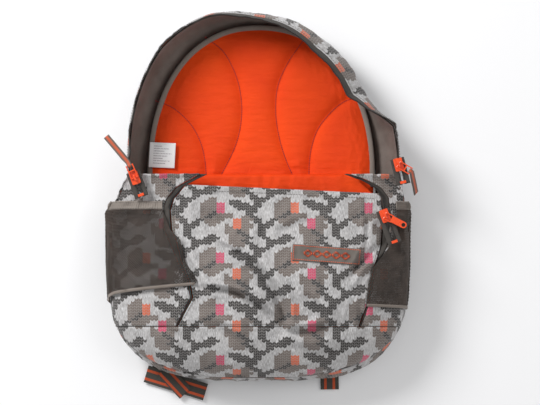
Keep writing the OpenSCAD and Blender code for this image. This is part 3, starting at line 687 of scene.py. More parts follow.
# folds of the slack front: a groove with a ridge beside it, points in mm
frontFolds = [
    dict(line=[(-24, -80), (2, -102), (19, -124), (32, -150), (29, -176)],
         groove=12, ridge=5, wide=6.5, side=1),
    dict(line=[(-69, -122), (-35, -127), (-15, -135), (13, -154), (32, -174)],
         groove=8, ridge=7, wide=3.6, side=1),
    dict(line=[(-56, -62), (-40, -71), (-22, -80)], groove=4, ridge=4, wide=3.6, side=1),
    dict(line=[(-92, -20), (-60, -36), (-14, -54)], groove=5.5, ridge=1.5, wide=11, side=-1),
    dict(line=[(-95, -60), (-92, -85), (-78, -110), (-66, -134)], groove=6, ridge=4, wide=5, side=1),
    dict(line=[(166, -62), (131, -90), (116, -112)], groove=5, ridge=4, wide=4.6, side=1),
    dict(line=[(34, -178), (62, -176), (97, -168)], groove=6, ridge=5, wide=4, side=1),
    dict(line=[(60, -130), (76, -147), (90, -163)], groove=3.5, ridge=4, wide=5, side=1),
    dict(line=[(128, -146), (134, -166), (144, -184)], groove=5, ridge=3, wide=5, side=1),
    dict(line=[(139, -8), (140, -58), (131, -84), (119, -108)], groove=2.6, ridge=2, wide=3, side=-1),
    dict(line=[(-60, -168), (-34, -182), (-14, -204)], groove=4.5, ridge=4, wide=6, side=1),
    dict(line=[(40, -196), (76, -204), (112, -196)], groove=4, ridge=3.5, wide=6, side=1),
    dict(line=[(-128, -168), (-100, -186), (-84, -210)], groove=4, ridge=3.5, wide=6, side=-1),
    dict(line=[(20, -60), (44, -44), (76, -36)], groove=2.5, ridge=2, wide=7, side=1),
    dict(line=[(2, -28), (8, -52), (-2, -76)], groove=2.5, ridge=2.2, wide=8, side=-1),
]
frontSwells = [(-104, -42, 26, 4.5), (-56, -102, 28, 4), (62, -118, 34, 3.5), (96, -150, 26, 3),
               (-20, -160, 24, 3),
               (-40, -30, 30, -2), (110, -30, 40, 1.5), (-110, -190, 24, 2.5), (60, -186, 30, 2)]


def foldZ(x, y):
    # how far the folds move the front up or down
    flatX, flatY = np.ravel(x), np.ravel(y)
    total = np.zeros(len(flatX))
    for f in frontFolds:
        line = smoothLine(f["line"], 36)
        seg = np.diff(line, axis=0)
        best = np.full(len(flatX), 1e9)
        signed, share = np.zeros(len(flatX)), np.zeros(len(flatX))
        for k, (a, d) in enumerate(zip(line[:-1], seg)):
            t = np.clip(((flatX - a[0]) * d[0] + (flatY - a[1]) * d[1]) / (d @ d), 0, 1)
            px, py = flatX - a[0] - t * d[0], flatY - a[1] - t * d[1]
            far = np.hypot(px, py)
            near = far < best
            best = np.where(near, far, best)
            signed = np.where(near, np.sign(d[0] * py - d[1] * px) * far, signed)
            share = np.where(near, (k + t) / len(seg), share)
        fade = np.sin(np.pi * np.clip(share, 0.02, 0.98)) ** 0.55
        w = f["wide"]
        total += fade * (-1.35 * f["groove"] * np.exp(-(best / w) ** 2)
                         + 1.45 * f["ridge"] * np.exp(-((signed - f["side"] * 1.7 * w) / (1.2 * w)) ** 2))
    for cx, cy, r, up in frontSwells:
        total += up * np.exp(-((flatX - cx) ** 2 + (flatY - cy) ** 2) / r ** 2)
    total += crumple(np.stack([flatX, flatY, 0 * flatX], 1), 34, 3.4, 1.0, (1.0, 0.8, 1))
    total += crumple(np.stack([flatX, flatY, 0 * flatX], 1), 14, 1.3, 2.0)
    return total.reshape(np.shape(x))


# one wide sheet carries the whole slack front; its pieces are cut out of it
former = dict(columns=150, rows=112, low=-236.4, high=25.0)


def formerGrid():
    w = np.linspace(-1, 1, former["columns"])[:, None]
    y = np.linspace(former["low"], former["high"], former["rows"])[None, :]
    x = halfX(np.where(w < 0, -1, 1), y) * np.sin(np.radians(90 * w))
    y = np.broadcast_to(y, x.shape)
    grid = np.stack([x, y, shellZ(x, y)], 2)
    lowAndSides = np.minimum((1 - np.abs(w)) * 9, (y - former["low"]) / 12)
    edge = np.minimum(lowAndSides, (former["high"] - y) / 8 + 0.25)
    grid[:, :, 2] += foldZ(x, y) * np.clip(edge, 0, 1)
    return grid


def slackCloth(grid):
    # lets the front sink a little as slack cloth held at its border
    look = dict(frames=22, slack=0.055, hold=0.10, cap=5.5)
    n, m = grid.shape[:2]
    faces = [(i * m + j, (i + 1) * m + j, (i + 1) * m + j + 1, i * m + j + 1)
             for i in range(n - 1) for j in range(m - 1)]
    sheet = meshObject("slackFront", grid.reshape(-1, 3), faces)
    hold = sheet.vertex_groups.new(name="hold")
    for i in range(n):
        for j in range(m):
            border = i in (0, n - 1) or j in (0, m - 1)
            hold.add([i * m + j], 1.0 if border else look["hold"], "REPLACE")
    cloth = sheet.modifiers.new("cloth", "CLOTH")
    s = cloth.settings
    s.quality, s.mass, s.air_damping = 5, 0.25, 2.0
    s.tension_stiffness = s.compression_stiffness = 22
    s.shear_stiffness, s.bending_stiffness = 8, 0.35
    s.tension_damping = s.compression_damping = 10
    s.vertex_group_mass, s.pin_stiffness = "hold", 0.6
    s.shrink_min = -look["slack"]
    s.effector_weights.gravity = 0.25
    cloth.point_cache.frame_start, cloth.point_cache.frame_end = 1, look["frames"]
    for f in range(1, look["frames"] + 1):
        scene.frame_set(f)
    settled = sheet.evaluated_get(bpy.context.evaluated_depsgraph_get()).to_mesh()
    moved = np.zeros(len(settled.vertices) * 3)
    settled.vertices.foreach_get("co", moved)
    moved = moved.reshape(n, m, 3) / mm
    sheet.evaluated_get(bpy.context.evaluated_depsgraph_get()).to_mesh_clear()
    bpy.data.objects.remove(sheet)
    scene.frame_set(1)
    shift = moved - grid
    far = np.linalg.norm(shift, axis=2, keepdims=True)
    print("slack cloth falls", round(float(far.mean()), 1), "mm on average, kept to", look["cap"])
    return grid + shift * np.minimum(1, look["cap"] / np.maximum(far, 1e-6))


frontGrid = formerGrid()
frontGrid = slackCloth(frontGrid)
print("front settled")


def onFront(x, y, lift=0.0):
    # points of the slack front above x, y
    x, y = np.broadcast_arrays(np.asarray(x, float), np.asarray(y, float))
    side = np.where(x < 0, -1, 1)
    w = np.degrees(np.arcsin(np.clip(x / np.maximum(halfX(side, y), 1e-6), -1, 1))) / 90
    a = (w + 1) / 2 * (former["columns"] - 1)
    b = np.clip((y - former["low"]) / (former["high"] - former["low"]), 0, 1) * (former["rows"] - 1)
    i = np.clip(a.astype(int), 0, former["columns"] - 2)
    j = np.clip(b.astype(int), 0, former["rows"] - 2)
    fa, fb = (a - i)[..., None], (b - j)[..., None]
    g = frontGrid
    lower = g[i, j] * (1 - fa) + g[i + 1, j] * fa
    upper = g[i, j + 1] * (1 - fa) + g[i + 1, j + 1] * fa
    at = lower * (1 - fb) + upper * fb
    out = np.stack([mix(x, at[..., 0], 0.6), mix(y, at[..., 1], 0.6), at[..., 2]], -1)
    out[..., 2] += lift
    return out


def clothUv(x, y):
    # lengths measured on the smooth front, so that the print bends with the folds
    x, y = np.broadcast_arrays(np.asarray(x, float), np.asarray(y, float))
    steps = np.linspace(0, 1, 24)
    xs = x[..., None] * steps
    zs = shellZ(xs, y[..., None])
    u = np.sign(x) * np.hypot(np.diff(xs, axis=-1), np.diff(zs, axis=-1)).sum(-1)
    ys = np.linspace(-237, 25, 120)
    zc = shellZ(0 * ys, ys)
    arc = np.concatenate([[0], np.cumsum(np.hypot(np.diff(ys), np.diff(zc)))])
    return np.stack([u, np.interp(y, ys, arc)], -1)


def frontPanel():
    look = dict(columns=150, rows=104, thick=1.4, hem=4.0)
    t = np.linspace(0, 1, look["columns"])[:, None]
    s = np.linspace(0, 1, look["rows"])[None, :]
    y0 = mix(pack["baseSeam"] + 0.8, edgeAt(0), s)
    x0 = mix(frontZipX(-1, y0) + 2.1, frontZipX(1, y0) - 2.1, t)
    y = mix(pack["baseSeam"] + 0.8, edgeAt(x0), s)
    x = mix(frontZipX(-1, y) + 2.1, frontZipX(1, y) - 2.1, t)
    grid, uv = onFront(x, y), clothUv(x, y)
    # the top edge rolls under
    edge, edgeUv = grid[:, -1], uv[:, -1]
    rolls, rollUv = [], []
    for k in range(1, 6):
        a = math.radians(32 * k)
        out, down = look["hem"] * 0.55 * math.sin(a), look["hem"] * 0.5 * (1 - math.cos(a))
        rolls.append(edge + np.array([0, out, -down]))
        rollUv.append(edgeUv + np.array([0, 1.6 * k]))
    grid = np.concatenate([grid, np.stack(rolls, 1)], 1)
    uv = np.concatenate([uv, np.stack(rollUv, 1)], 1)
    made = gridPiece("frontPanel", grid, uv, ref=(0, -100, 0), thick=look["thick"])
    placePiece(made, "bag", printCloth, "knit_print", "front_panel")
    return grid


def tapeShown(y):
    # the tape is tucked away low down, where the cloth lies over it
    return np.interp(y, [-172, -100, -60], [1.6, 2.8, 8.8])


def middleGusset(side, name, node):
    t = np.linspace(0, 1, 46)[:, None]
    y = np.linspace(pack["baseSeam"] + 0.8, 24, 84)[None, :]
    inner = frontZipX(side, y) + side * tapeShown(y)
    outer = side * (halfX(side, y) - 0.3)
    x = mix(inner, outer, np.sin(np.radians(90 * t)))
    y = np.broadcast_to(y, x.shape)
    grid = onFront(x, y)
    grid[..., 2] += crumple(grid, 16, 1.3, 4.0 + side) * np.sin(np.pi * np.broadcast_to(t, x.shape)) ** 0.5
    made = gridPiece(name, grid, clothUv(x, y), ref=(0, -80, 10), thick=1.4)
    placePiece(made, "bag", printCloth, "knit_print", node)


def frontTape(side, name, node):
    t = np.linspace(0, 1, 5)[:, None]
    y = np.linspace(pack["baseSeam"] + 0.8, 24, 84)[None, :]
    x = frontZipX(side, y) + side * ((tapeShown(y) - 0.4) * t - 0.4)
    y = np.broadcast_to(y, x.shape)
    grid = onFront(x, y, -1.2)
    made = gridPiece(name, grid, ref=(0, -80, 0), thick=1.0)
    placePiece(made, "bag", zipTape, "zip_tape", node)


def basePanel():
    y = -120 - (236.5 - 120) * np.sin(np.linspace(math.pi / 2, math.asin((172 - 120) / 116.5), 46))[None, :]
    w = np.linspace(-90, 90, 170)[:, None]
    x = (halfX(np.where(w < 0, -1, 1), y) - 0.3) * np.sin(np.radians(w))
    y = np.broadcast_to(y, x.shape)
    made = gridPiece("basePanel", onFront(x, y), clothUv(x, y), ref=(0, -150, 0), thick=1.4)
    placePiece(made, "bag", printCloth, "knit_print", "base_panel")


frontPanel()
middleGusset(-1, "leftMiddleGusset", "middle_gusset_left")
middleGusset(1, "rightMiddleGusset", "middle_gusset_right")
frontTape(-1, "leftFrontTape", "front_zip_tape_left")
frontTape(1, "rightFrontTape", "front_zip_tape_right")
basePanel()
print("front made")


# main gusset with its lining, tape and piping
def ringLines(count=380):
    # foot, rim and outward direction at evenly spaced stations round the pack
    side, zone, t = ringStations()
    footX, footY = panelPoints(side, zone, t, pack["wallOut"])
    lean = np.where(side < 0, np.interp(t, [0, 45, 70, 90], [20.4, 24, 16, 1]),
                    np.interp(t, [0, 14, 22, 31, 60, 90], [28.4, 26, 0, -15, -15, 1]))
    lowX, lowY = quarter(t, pack["sideX"], pack["baseLow"] - pack["lowStart"], pack["basePower"])
    archX, archY = panelPoints(side, zone, t, pack["wallOut"] + np.where(zone == 2, lean, 0))
    rimX = np.where(zone == 0, side * lowX, np.where(zone == 1, side * halfX(side, t), archX))
    rimY = np.where(zone == 0, -pack["lowStart"] - lowY, np.where(zone == 1, t, archY))
    full = pack["wallZ"] + np.sqrt(pack["gussetWidth"] ** 2 - lean ** 2)
    archZ = mix(56, full, np.clip(t / 16, 0, 1))
    rimZ = np.where(zone == 0, pack["foldZ"] - 2, np.where(zone == 1, edgeZ(t) - 2, archZ))
    foot = np.stack([footX, footY, 0 * footX + pack["wallZ"]], 1)
    rim = np.stack([rimX, rimY, rimZ], 1)
    along = np.roll(foot, -1, 0) - np.roll(foot, 1, 0)
    out = np.stack([along[:, 1], -along[:, 0], 0 * along[:, 0]], 1)
    out /= np.linalg.norm(out, axis=1, keepdims=True)
    puff = np.where(zone == 0, mix(0.35, 1, np.cos(np.radians(t))), 1)
    middle = (foot + rim) / 2
    step = np.linalg.norm(np.roll(middle, -1, 0) - middle, axis=1)
    total = np.concatenate([[0], np.cumsum(step)])
    want = np.linspace(0, total[-1], count, endpoint=False)
    wrap = lambda v: np.concatenate([v, v[:1]])
    pick = lambda v: np.stack([np.interp(want, total, wrap(v[:, c])) for c in range(v.shape[1])], 1)
    arch = np.interp(want, total, wrap((zone == 2).astype(float)))
    return pick(foot), pick(rim), pick(out), np.interp(want, total, wrap(puff)), arch


def gussetGrid(rows=20):
    foot, rim, out, puff, arch = ringLines()
    v = np.linspace(0, 1, rows)
    grid = foot[:, None] * (1 - v)[None, :, None] + rim[:, None] * v[None, :, None]
    grid = grid + out[:, None] * (pack["bulge"] * np.sin(np.pi * v)[None, :] * puff[:, None])[..., None]
    slack = crumple(grid, 30, 2.6, 9.0, (1, 1, 0.5)) + crumple(grid, 12, 0.7, 10.0)
    grid = grid + out[:, None] * (slack * np.sin(np.pi * v)[None, :] ** 0.6)[..., None]
    return grid, arch


wallGrid, wallArch = gussetGrid()


def wallPieces():
    uv = gridUv(wallGrid, True)[..., ::-1]
    made = gridPiece("outerWall", wallGrid, uv, closed=True, ref=(0, -10, 40), thick=1.2)
    placePiece(made, "bag", printCloth, "knit_print", "arch_gusset_left", "arch_gusset_right",
               "side_wall_left", "side_wall_right")
    normal = normalsOf(wallGrid, True)
    flip = np.sign((normal * (wallGrid - np.array([0, -10, 40]))).sum(2).mean())
    inner = wallGrid - flip * normal * 2.6
    inner[..., 2] = np.maximum(inner[..., 2], 16.4)
    lined = gridPiece("wallLining", inner, closed=True, ref=(0, -10, 40), thick=0.9)
    placePiece(lined, "bag", liningBrown, "brown_lining", "gusset_lining")


wallPieces()


def archPath(grid, row, shift=0.0):
    # the arch part of one row of the wall, from the right end to the left
    on = np.where(wallArch > 0.5)[0]
    rim = grid[on]
    d = rim[:, row] - rim[:, row - 1]
    d /= np.linalg.norm(d, axis=1, keepdims=True)
    return rim[:, row] + d * shift, d


def rimTape():
    look = dict(width=11, gap=0.6, thick=1.1)
    at, d = archPath(wallGrid, -1)
    at, d = at[4:-4], d[4:-4]
    grid = np.stack([at + d * (look["gap"] + look["width"] * k / 5) for k in range(6)], 1)
    made = gridPiece("rimZipTape", grid, ref=(0, 0, 30), thick=look["thick"])
    placePiece(made, "bag", zipTape, "zip_tape", "rim_zip_tape")
    return at + d * (look["gap"] + look["width"]), d


tapeEdge, tapeDirection = rimTape()


def rimPiping():
    # bound seam inside the foot of the wall
    side, zone, t = ringStations(40, 30, 120)
    keep = np.where((zone == 2) | ((zone == 1) & (t > 10)))[0]
    x, y = panelPoints(side, zone, t, 0)
    middle = np.stack([x, y], 1)[keep]
    along = np.gradient(middle, axis=0)
    inward = np.stack([-along[:, 1], along[:, 0]], 1)
    inward /= np.linalg.norm(inward, axis=1, keepdims=True)
    inward *= -np.sign((inward * (middle - np.array([0, 60]))).sum(1))[:, None]
    rings = []
    for p, q in zip(middle, inward):
        centre = np.array([p[0] + q[0] * 1.7, p[1] + q[1] * 1.7, pack["liningTop"] + 2.4])
        ring = []
        for k in range(12):
            a = 2 * math.pi * k / 12
            out = 3.5 * math.cos(a)
            ring.append(centre + np.array([q[0] * out, q[1] * out, 2.0 * math.sin(a) - 0.6 * math.cos(a)]))
        rings.append(ring)
    rings = np.array(rings)
    rings[..., 2] += crumple(rings, 14, 0.5, 3.0)
    made = closedSolid("rimPiping", rings)
    placePiece(made, "bag", seamTape, "seam_tape", "rim_piping")


rimPiping()
print("walls made")


# geometry nodes for what repeats
def groupInput(tree, name, kind, default=None, low=None):
    made = tree.interface.new_socket(name=name, in_out="INPUT", socket_type=kind)
    if default is not None:
        made.default_value = default
    if low is not None:
        made.min_value = low
    return made


def startTree(name):
    tree = bpy.data.node_groups.new(name, "GeometryNodeTree")
    groupInput(tree, "Geometry", "NodeSocketGeometry")
    tree.interface.new_socket(name="Geometry", in_out="OUTPUT", socket_type="NodeSocketGeometry")
    return tree, tree.nodes.new("NodeGroupInput"), tree.nodes.new("NodeGroupOutput")


def stitchTree():
    # short threads along a line
    tree, inn, out = startTree("stitchesAlongLine")
    groupInput(tree, "Spacing", "NodeSocketFloat", 0.003, 0.0005)
    groupInput(tree, "Thread length", "NodeSocketFloat", 0.0022, 0.0003)
    groupInput(tree, "Thread radius", "NodeSocketFloat", 0.0004, 0.0001)
    groupInput(tree, "Material", "NodeSocketMaterial")
    add, link = tree.nodes.new, tree.links.new
    curve = add("GeometryNodeMeshToCurve")
    link(inn.outputs["Geometry"], curve.inputs["Mesh"])
    dots = add("GeometryNodeCurveToPoints")
    dots.mode = "LENGTH"
    link(curve.outputs["Curve"], dots.inputs["Curve"])
    link(inn.outputs["Spacing"], dots.inputs["Length"])
    bead = add("GeometryNodeMeshUVSphere")
    bead.inputs["Segments"].default_value, bead.inputs["Rings"].default_value = 6, 5
    bead.inputs["Radius"].default_value = 1.0
    half = add("ShaderNodeMath")
    half.operation = "MULTIPLY"
    link(inn.outputs["Thread length"], half.inputs[0])
    half.inputs[1].default_value = 0.5
    size = add("ShaderNodeCombineXYZ")
    link(inn.outputs["Thread radius"], size.inputs["X"])
    link(inn.outputs["Thread radius"], size.inputs["Y"])
    link(half.outputs[0], size.inputs["Z"])
    put = add("GeometryNodeInstanceOnPoints")
    link(dots.outputs["Points"], put.inputs["Points"])
    link(dots.outputs["Rotation"], put.inputs["Rotation"])
    link(bead.outputs["Mesh"], put.inputs["Instance"])
    link(size.outputs[0], put.inputs["Scale"])
    real = add("GeometryNodeRealizeInstances")
    link(put.outputs["Instances"], real.inputs["Geometry"])
    paint = add("GeometryNodeSetMaterial")
    link(real.outputs["Geometry"], paint.inputs["Geometry"])
    link(inn.outputs["Material"], paint.inputs["Material"])
    link(paint.outputs["Geometry"], out.inputs[0])
    return tree


def tubeTree():
    # round yarn along every line of a net or a coil
    tree, inn, out = startTree("yarnAlongLines")
    groupInput(tree, "Yarn radius", "NodeSocketFloat", 0.0004, 0.00005)
    groupInput(tree, "Sides", "NodeSocketInt", 3, 3)
    groupInput(tree, "Material", "NodeSocketMaterial")
    add, link = tree.nodes.new, tree.links.new
    curve = add("GeometryNodeMeshToCurve")
    link(inn.outputs["Geometry"], curve.inputs["Mesh"])
    ring = add("GeometryNodeCurvePrimitiveCircle")
    link(inn.outputs["Sides"], ring.inputs["Resolution"])
    link(inn.outputs["Yarn radius"], ring.inputs["Radius"])
    tube = add("GeometryNodeCurveToMesh")
    tube.inputs["Fill Caps"].default_value = True
    link(curve.outputs["Curve"], tube.inputs["Curve"])
    link(ring.outputs["Curve"], tube.inputs["Profile Curve"])
    real = add("GeometryNodeRealizeInstances")
    link(tube.outputs["Mesh"], real.inputs["Geometry"])
    paint = add("GeometryNodeSetMaterial")
    link(real.outputs["Geometry"], paint.inputs["Geometry"])
    link(inn.outputs["Material"], paint.inputs["Material"])
    link(paint.outputs["Geometry"], out.inputs[0])
    return tree


stitchNodes, yarnNodes = stitchTree(), tubeTree()


def grown(name, points, edges, tree, material, **settings):
    # runs a tree on a wire and keeps the plain mesh
    wire = bpy.data.meshes.new(name + "Wire")
    inMetres = [tuple(p) for p in np.asarray(points, float) * mm]
    wire.from_pydata(inMetres, [tuple(int(i) for i in e) for e in edges], [])
    holder = bpy.data.objects.new(name + "Wire", wire)
    scene.collection.objects.link(holder)
    mod = holder.modifiers.new("nodes", "NODES")
    mod.node_group = tree
    for item in tree.interface.items_tree:
        if item.item_type != "SOCKET" or item.in_out != "INPUT":
            continue
        if item.name == "Material":
            mod[item.identifier] = material
        elif item.name in settings:
            mod[item.identifier] = settings[item.name]
    mesh = bpy.data.meshes.new_from_object(holder.evaluated_get(bpy.context.evaluated_depsgraph_get()))
    mesh.name = name
    mesh.polygons.foreach_set("use_smooth", [True] * len(mesh.polygons))
    bpy.data.objects.remove(holder)
    made = bpy.data.objects.new(name, mesh)
    scene.collection.objects.link(made)
    made.data.materials.clear()
    made.data.materials.append(material)
    made.data.polygons.foreach_set("material_index", [0] * len(mesh.polygons))
    return made


def stitches(name, lines, material, body="bag", spacing=3.2, long=2.4, radius=0.45):
    points, edges = [], []
    for line in lines:
        first = len(points)
        points += [tuple(p) for p in line]
        edges += [(k, k + 1) for k in range(first, len(points) - 1)]
    made = grown(name, points, edges, stitchNodes, material,
                 **{"Spacing": spacing * mm, "Thread length": long * mm, "Thread radius": radius * mm})
    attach(made, body)
    return made


def coilLine(path, across, pitch=1.7, wide=1.5, high=1.1, turns=8):
    # a zip's nylon coil: a flattened spring along the path
    path, across = np.asarray(path, float), np.asarray(across, float)
    total = np.concatenate([[0], np.cumsum(np.linalg.norm(np.diff(path, axis=0), axis=1))])
    count = int(total[-1] / pitch * turns)
    s = np.linspace(0, total[-1], count)
    p = np.stack([np.interp(s, total, path[:, c]) for c in range(3)], 1)
    a = np.stack([np.interp(s, total, across[:, c]) for c in range(3)], 1)
    a /= np.linalg.norm(a, axis=1, keepdims=True)
    along = np.gradient(p, axis=0)
    along /= np.linalg.norm(along, axis=1, keepdims=True)
    up = np.cross(along, a)
    turn = 2 * np.pi * s / pitch
    return p + a * (wide * np.cos(turn))[:, None] + up * (high * np.sin(turn))[:, None]


def coils(name, lines, body="bag", radius=0.38):
    points, edges = [], []
    for line in lines:
        first = len(points)
        points += [tuple(p) for p in line]
        edges += [(k, k + 1) for k in range(first, len(points) - 1)]
    made = grown(name, points, edges, yarnNodes, coilNylon, **{"Yarn radius": radius * mm, "Sides": 4})
    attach(made, body)
    return made


# back lining, quilted along its arcs
quiltArcs = [
    [(-69, 208), (-45, 188), (-29, 157), (-22, 124), (-23, 91), (-32, 59), (-53, 17), (-70, -20)],
    [(58, 202), (39, 174), (26, 144), (23, 113), (26, 84), (34, 53), (47, 21), (60, -14)],
    [(-134, 124), (-111, 114), (-90, 95), (-77, 73), (-70, 48), (-68, 18), (-70, -20)],
    [(126, 128), (110, 121), (94, 107), (78, 86), (70, 62), (67, 40), (67, 20), (70, -16)],
]


def backLining():
    look = dict(rings=110, around=320, puff=5.4, thick=1.0)
    side, zone, t = ringStations(80, 40, 140)
    x, y = panelPoints(side, zone, t, -0.2)
    loop = np.concatenate([np.stack([x, y], 1), [[x[0], y[0]]]])
    total = np.concatenate([[0], np.cumsum(np.linalg.norm(np.diff(loop, axis=0), axis=1))])
    want = np.linspace(0, total[-1], look["around"], endpoint=False)
    rimLine = np.stack([np.interp(want, total, loop[:, c]) for c in range(2)], 1)
    centre = np.array([0.0, 60.0])
    r = np.linspace(0, 1, look["rings"]) ** 0.85
    flat = centre + (rimLine[:, None] - centre) * r[None, :, None]
    best = np.full(flat.shape[:2], 1e9)
    for arc in quiltArcs:
        for p in smoothLine(arc, 120):
            best = np.minimum(best, np.hypot(flat[..., 0] - p[0], flat[..., 1] - p[1]))
    rimFar = (1 - r)[None, :] * 140
    puff = look["puff"] * (1 - np.exp(-(best / 8.0) ** 1.2)) * np.clip(rimFar / 16, 0, 1) ** 0.6
    grid = np.concatenate([flat, (pack["liningTop"] + puff * 0.95)[..., None]], 2)
    # puckers run across the quilting, shorter and sharper low down
    low = np.clip((110 - flat[..., 1]) / 90, 0.15, 1)
    wave = crumple(grid, 26, 1.5, 21.0, (0.55, 2.6, 0)) + crumple(grid, 60, 2.2, 22.0, (1, 1, 0)) * 0.5
    grid[..., 2] += wave * low * np.clip(puff / 2.4, 0, 1)
    radial = crumple(np.concatenate([flat, 0 * flat[..., :1]], 2), 18, 1.6, 23.0, (1.6, 0.7, 0))
    grid[..., 2] += radial * np.exp(-((rimFar - 18) / 14) ** 2) * 0.8
    grid[:, 0] = grid[:, 0].mean(0)
    uv = np.concatenate([grid, grid[:1]])[..., :2]
    made = gridPiece("backLining", grid, uv, closed=True, ref=(0, 0, -200), thick=look["thick"])
    placePiece(made, "bag", liningOrange, "orange_lining", "back_lining")

    def heightAt(p):
        d = np.hypot(grid[..., 0] - p[0], grid[..., 1] - p[1])
        return float(grid[..., 2].reshape(-1)[np.argmin(d)])

    lines = []
    for arc in quiltArcs:
        line = smoothLine(arc, 90)
        lines.append([(p[0], p[1], heightAt(p) + 0.25) for p in line])
    stitches("quiltStitches", lines, redThread, spacing=2.9, long=2.8, radius=0.7)


backLining()


def dividerPanel():
    look = dict(foldY=21, topZ=48.0, foldR=5.0, taper=22, thick=1.2)
    ys = np.linspace(-222, look["foldY"], 70)
    profile = [(y, look["topZ"], 1.0) for y in ys]
    for k in range(1, 12):
        a = math.pi * k / 12
        z = look["topZ"] - look["foldR"] * (1 - math.cos(a))
        profile.append((look["foldY"] + look["foldR"] * math.sin(a), z, 1.0))
    profile += [(y, look["topZ"] - 2 * look["foldR"], 0.0) for y in np.linspace(look["foldY"], -110, 40)]
    cols = np.linspace(-1, 1, 110)
    grid = np.zeros((len(cols), len(profile), 3))
    for j, (y, z, upper) in enumerate(profile):
        if upper:
            past = y - look["foldY"] + look["taper"]
            if past < 0:
                wide = min(float(halfX(np.array(1.0), np.array(min(y, 21.0)))) - 16, 158)
            else:
                wide = mix(150, 127, min(1, past / look["taper"]))
        else:
            wide = 128 * math.sqrt(max(0.0, 1 - ((look["foldY"] - y) / 150) ** 2))
        grid[:, j] = np.stack([cols * wide, np.full(len(cols), y), np.full(len(cols), z)], 1)
    sag = crumple(grid, 38, 2.4, 31.0, (1.6, 0.8, 0)) + crumple(grid, 15, 0.9, 32.0, (1.6, 0.6, 0))
    upperMask = np.array([p[2] for p in profile])[None, :]
    grid[..., 2] += sag * np.where(upperMask > 0, 1.0, 0.3) - 1.0
    # low down it stays under the slumped front
    under = onFront(grid[..., 0], grid[..., 1])[..., 2] - 5.0
    grid[..., 2] = np.where(grid[..., 1] < 0, np.minimum(grid[..., 2], under), grid[..., 2])
    made = gridPiece("dividerPanel", grid, thick=look["thick"], ref=(0, -60, -200))
    placePiece(made, "bag", liningOrange, "orange_lining", "divider_panel")
    return made, grid


divider, dividerGrid = dividerPanel()
print("lining made")


# side pockets
def pocketInner(side, y):
    if side < 0:
        return np.interp(y, [-150, -113, -90, -61, -48, -23], [92, 78, 93, 100, 113, 123])
    return np.interp(y, [-150, -118, -98, -68, -46, -11], [138, 141, 147, 171, 179, 180])


def pocketSurface(side, w, y, lift=1.4, slack=7.0):
    # w goes from the front zip round the sideways fold
    w, y = np.broadcast_arrays(np.asarray(w, float), np.asarray(y, float))
    inner, outer = pocketInner(side, y), halfX(np.full(y.shape, float(side)), y)
    a = np.radians(np.clip(w / 0.7, 0, 1) * 90)
    x = side * mix(inner, outer * 0.998, np.sin(a))
    top = onFront(x, y)
    t = 1 - 0.62 * np.clip((w - 0.7) / 0.3, 0, 1)
    foot = pack["halfBack"] + pack["wallOut"]
    under = np.stack([side * (mix(foot, outer, t) + pack["bulge"] * np.sin(np.pi * t)), y,
                      mix(pack["wallZ"], edgeZ(y) - 2, t)], -1)
    grid = np.where((w < 0.7)[..., None], top, under)
    fuller = np.interp(y, [-150, -90, -11], [0.25, 0.8, 1])
    puff = lift + slack * np.sin(np.pi * np.clip(w, 0.03, 0.97)) ** 0.7 * fuller
    towards = np.stack([side * np.clip(w / 0.7, 0, 1) ** 2, 0 * w, np.clip(1.25 - w, 0, 1)], -1)
    towards /= np.linalg.norm(towards, axis=-1, keepdims=True)
    return grid + towards * puff[..., None]


def pocketLowY(side, w):
    # the pocket's slanted bottom seam
    w = np.asarray(w, float)
    seam = [-117, -128, -149] if side < 0 else [-144, -146, -149]
    return np.interp(w, [0, 0.5, 1], seam)


def meshPocket(side, name, node):
    look = dict(cell=3.0, yarn=0.62, topY=-21.8)
    count, rowStep = 62, look["cell"] * 0.75
    long = look["topY"] + 149
    rows = int(long / rowStep)
    points, edges, index = [], [], {}

    def vertex(u, v):
        key = (round(u * 2), round(v * 4))
        if key not in index:
            index[key] = len(points)
            points.append((u, v))
        return index[key]

    # honeycomb in counting units, bent onto the pocket afterwards
    for r in range(rows + 1):
        for c in range(count + 1):
            u = c + 0.5 * (r % 2)
            v = r * 0.75
            corners = [vertex(u, v + 0.5), vertex(u + 0.5, v + 0.25), vertex(u + 0.5, v - 0.25),
                       vertex(u, v - 0.5), vertex(u - 0.5, v - 0.25), vertex(u - 0.5, v + 0.25)]
            edges += [tuple(sorted((corners[k], corners[(k + 1) % 6]))) for k in range(6)]
    edges = sorted(set(edges))
    uv = np.array(points, float)
    w = np.clip(uv[:, 0] / count, 0, 1)
    s = np.clip(uv[:, 1] / (rows * 0.75), 0, 1)
    low = pocketLowY(side, w)
    y = mix(low, look["topY"], s)
    at = pocketSurface(side, w, y)
    sag = crumple(at, 26, 2.0, 41.0 + side)
    at[:, 2] += sag * 0.8
    at[:, 0] += side * sag * 0.3 * np.clip(w, 0, 1)
    made = grown(name, at, edges, yarnNodes, netYarn, **{"Yarn radius": look["yarn"] * mm, "Sides": 3})
    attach(made, "bag")
    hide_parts(node)
    # folded tape along the slanted bottom seam
    seam = []
    for v in np.linspace(0, 1, 60):
        seam.append(pocketSurface(side, np.array(v), pocketLowY(side, np.array(v))) * 1.0)
    return np.array(seam)


def hemStrip(name, line, width, material, lift=0.6):
    line = np.asarray(line, float)
    along = np.gradient(line, axis=0)
    along /= np.linalg.norm(along, axis=1, keepdims=True)
    centre = np.array([0, -90, 30.0])
    out = line - centre
    out -= (out * along).sum(1, keepdims=True) * along
    out /= np.linalg.norm(out, axis=1, keepdims=True)
    across = np.cross(along, out)
    rings = []
    for p, a, o in zip(line, across, out):
        ring = [p + a * width / 2 * math.cos(q) + o * (lift + 0.9 * math.sin(q))
                for q in np.linspace(0, 2 * math.pi, 10, endpoint=False)]
        rings.append(ring)
    made = closedSolid(name, rings)
    made.data.materials.append(material)
    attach(made, "bag")
    return made


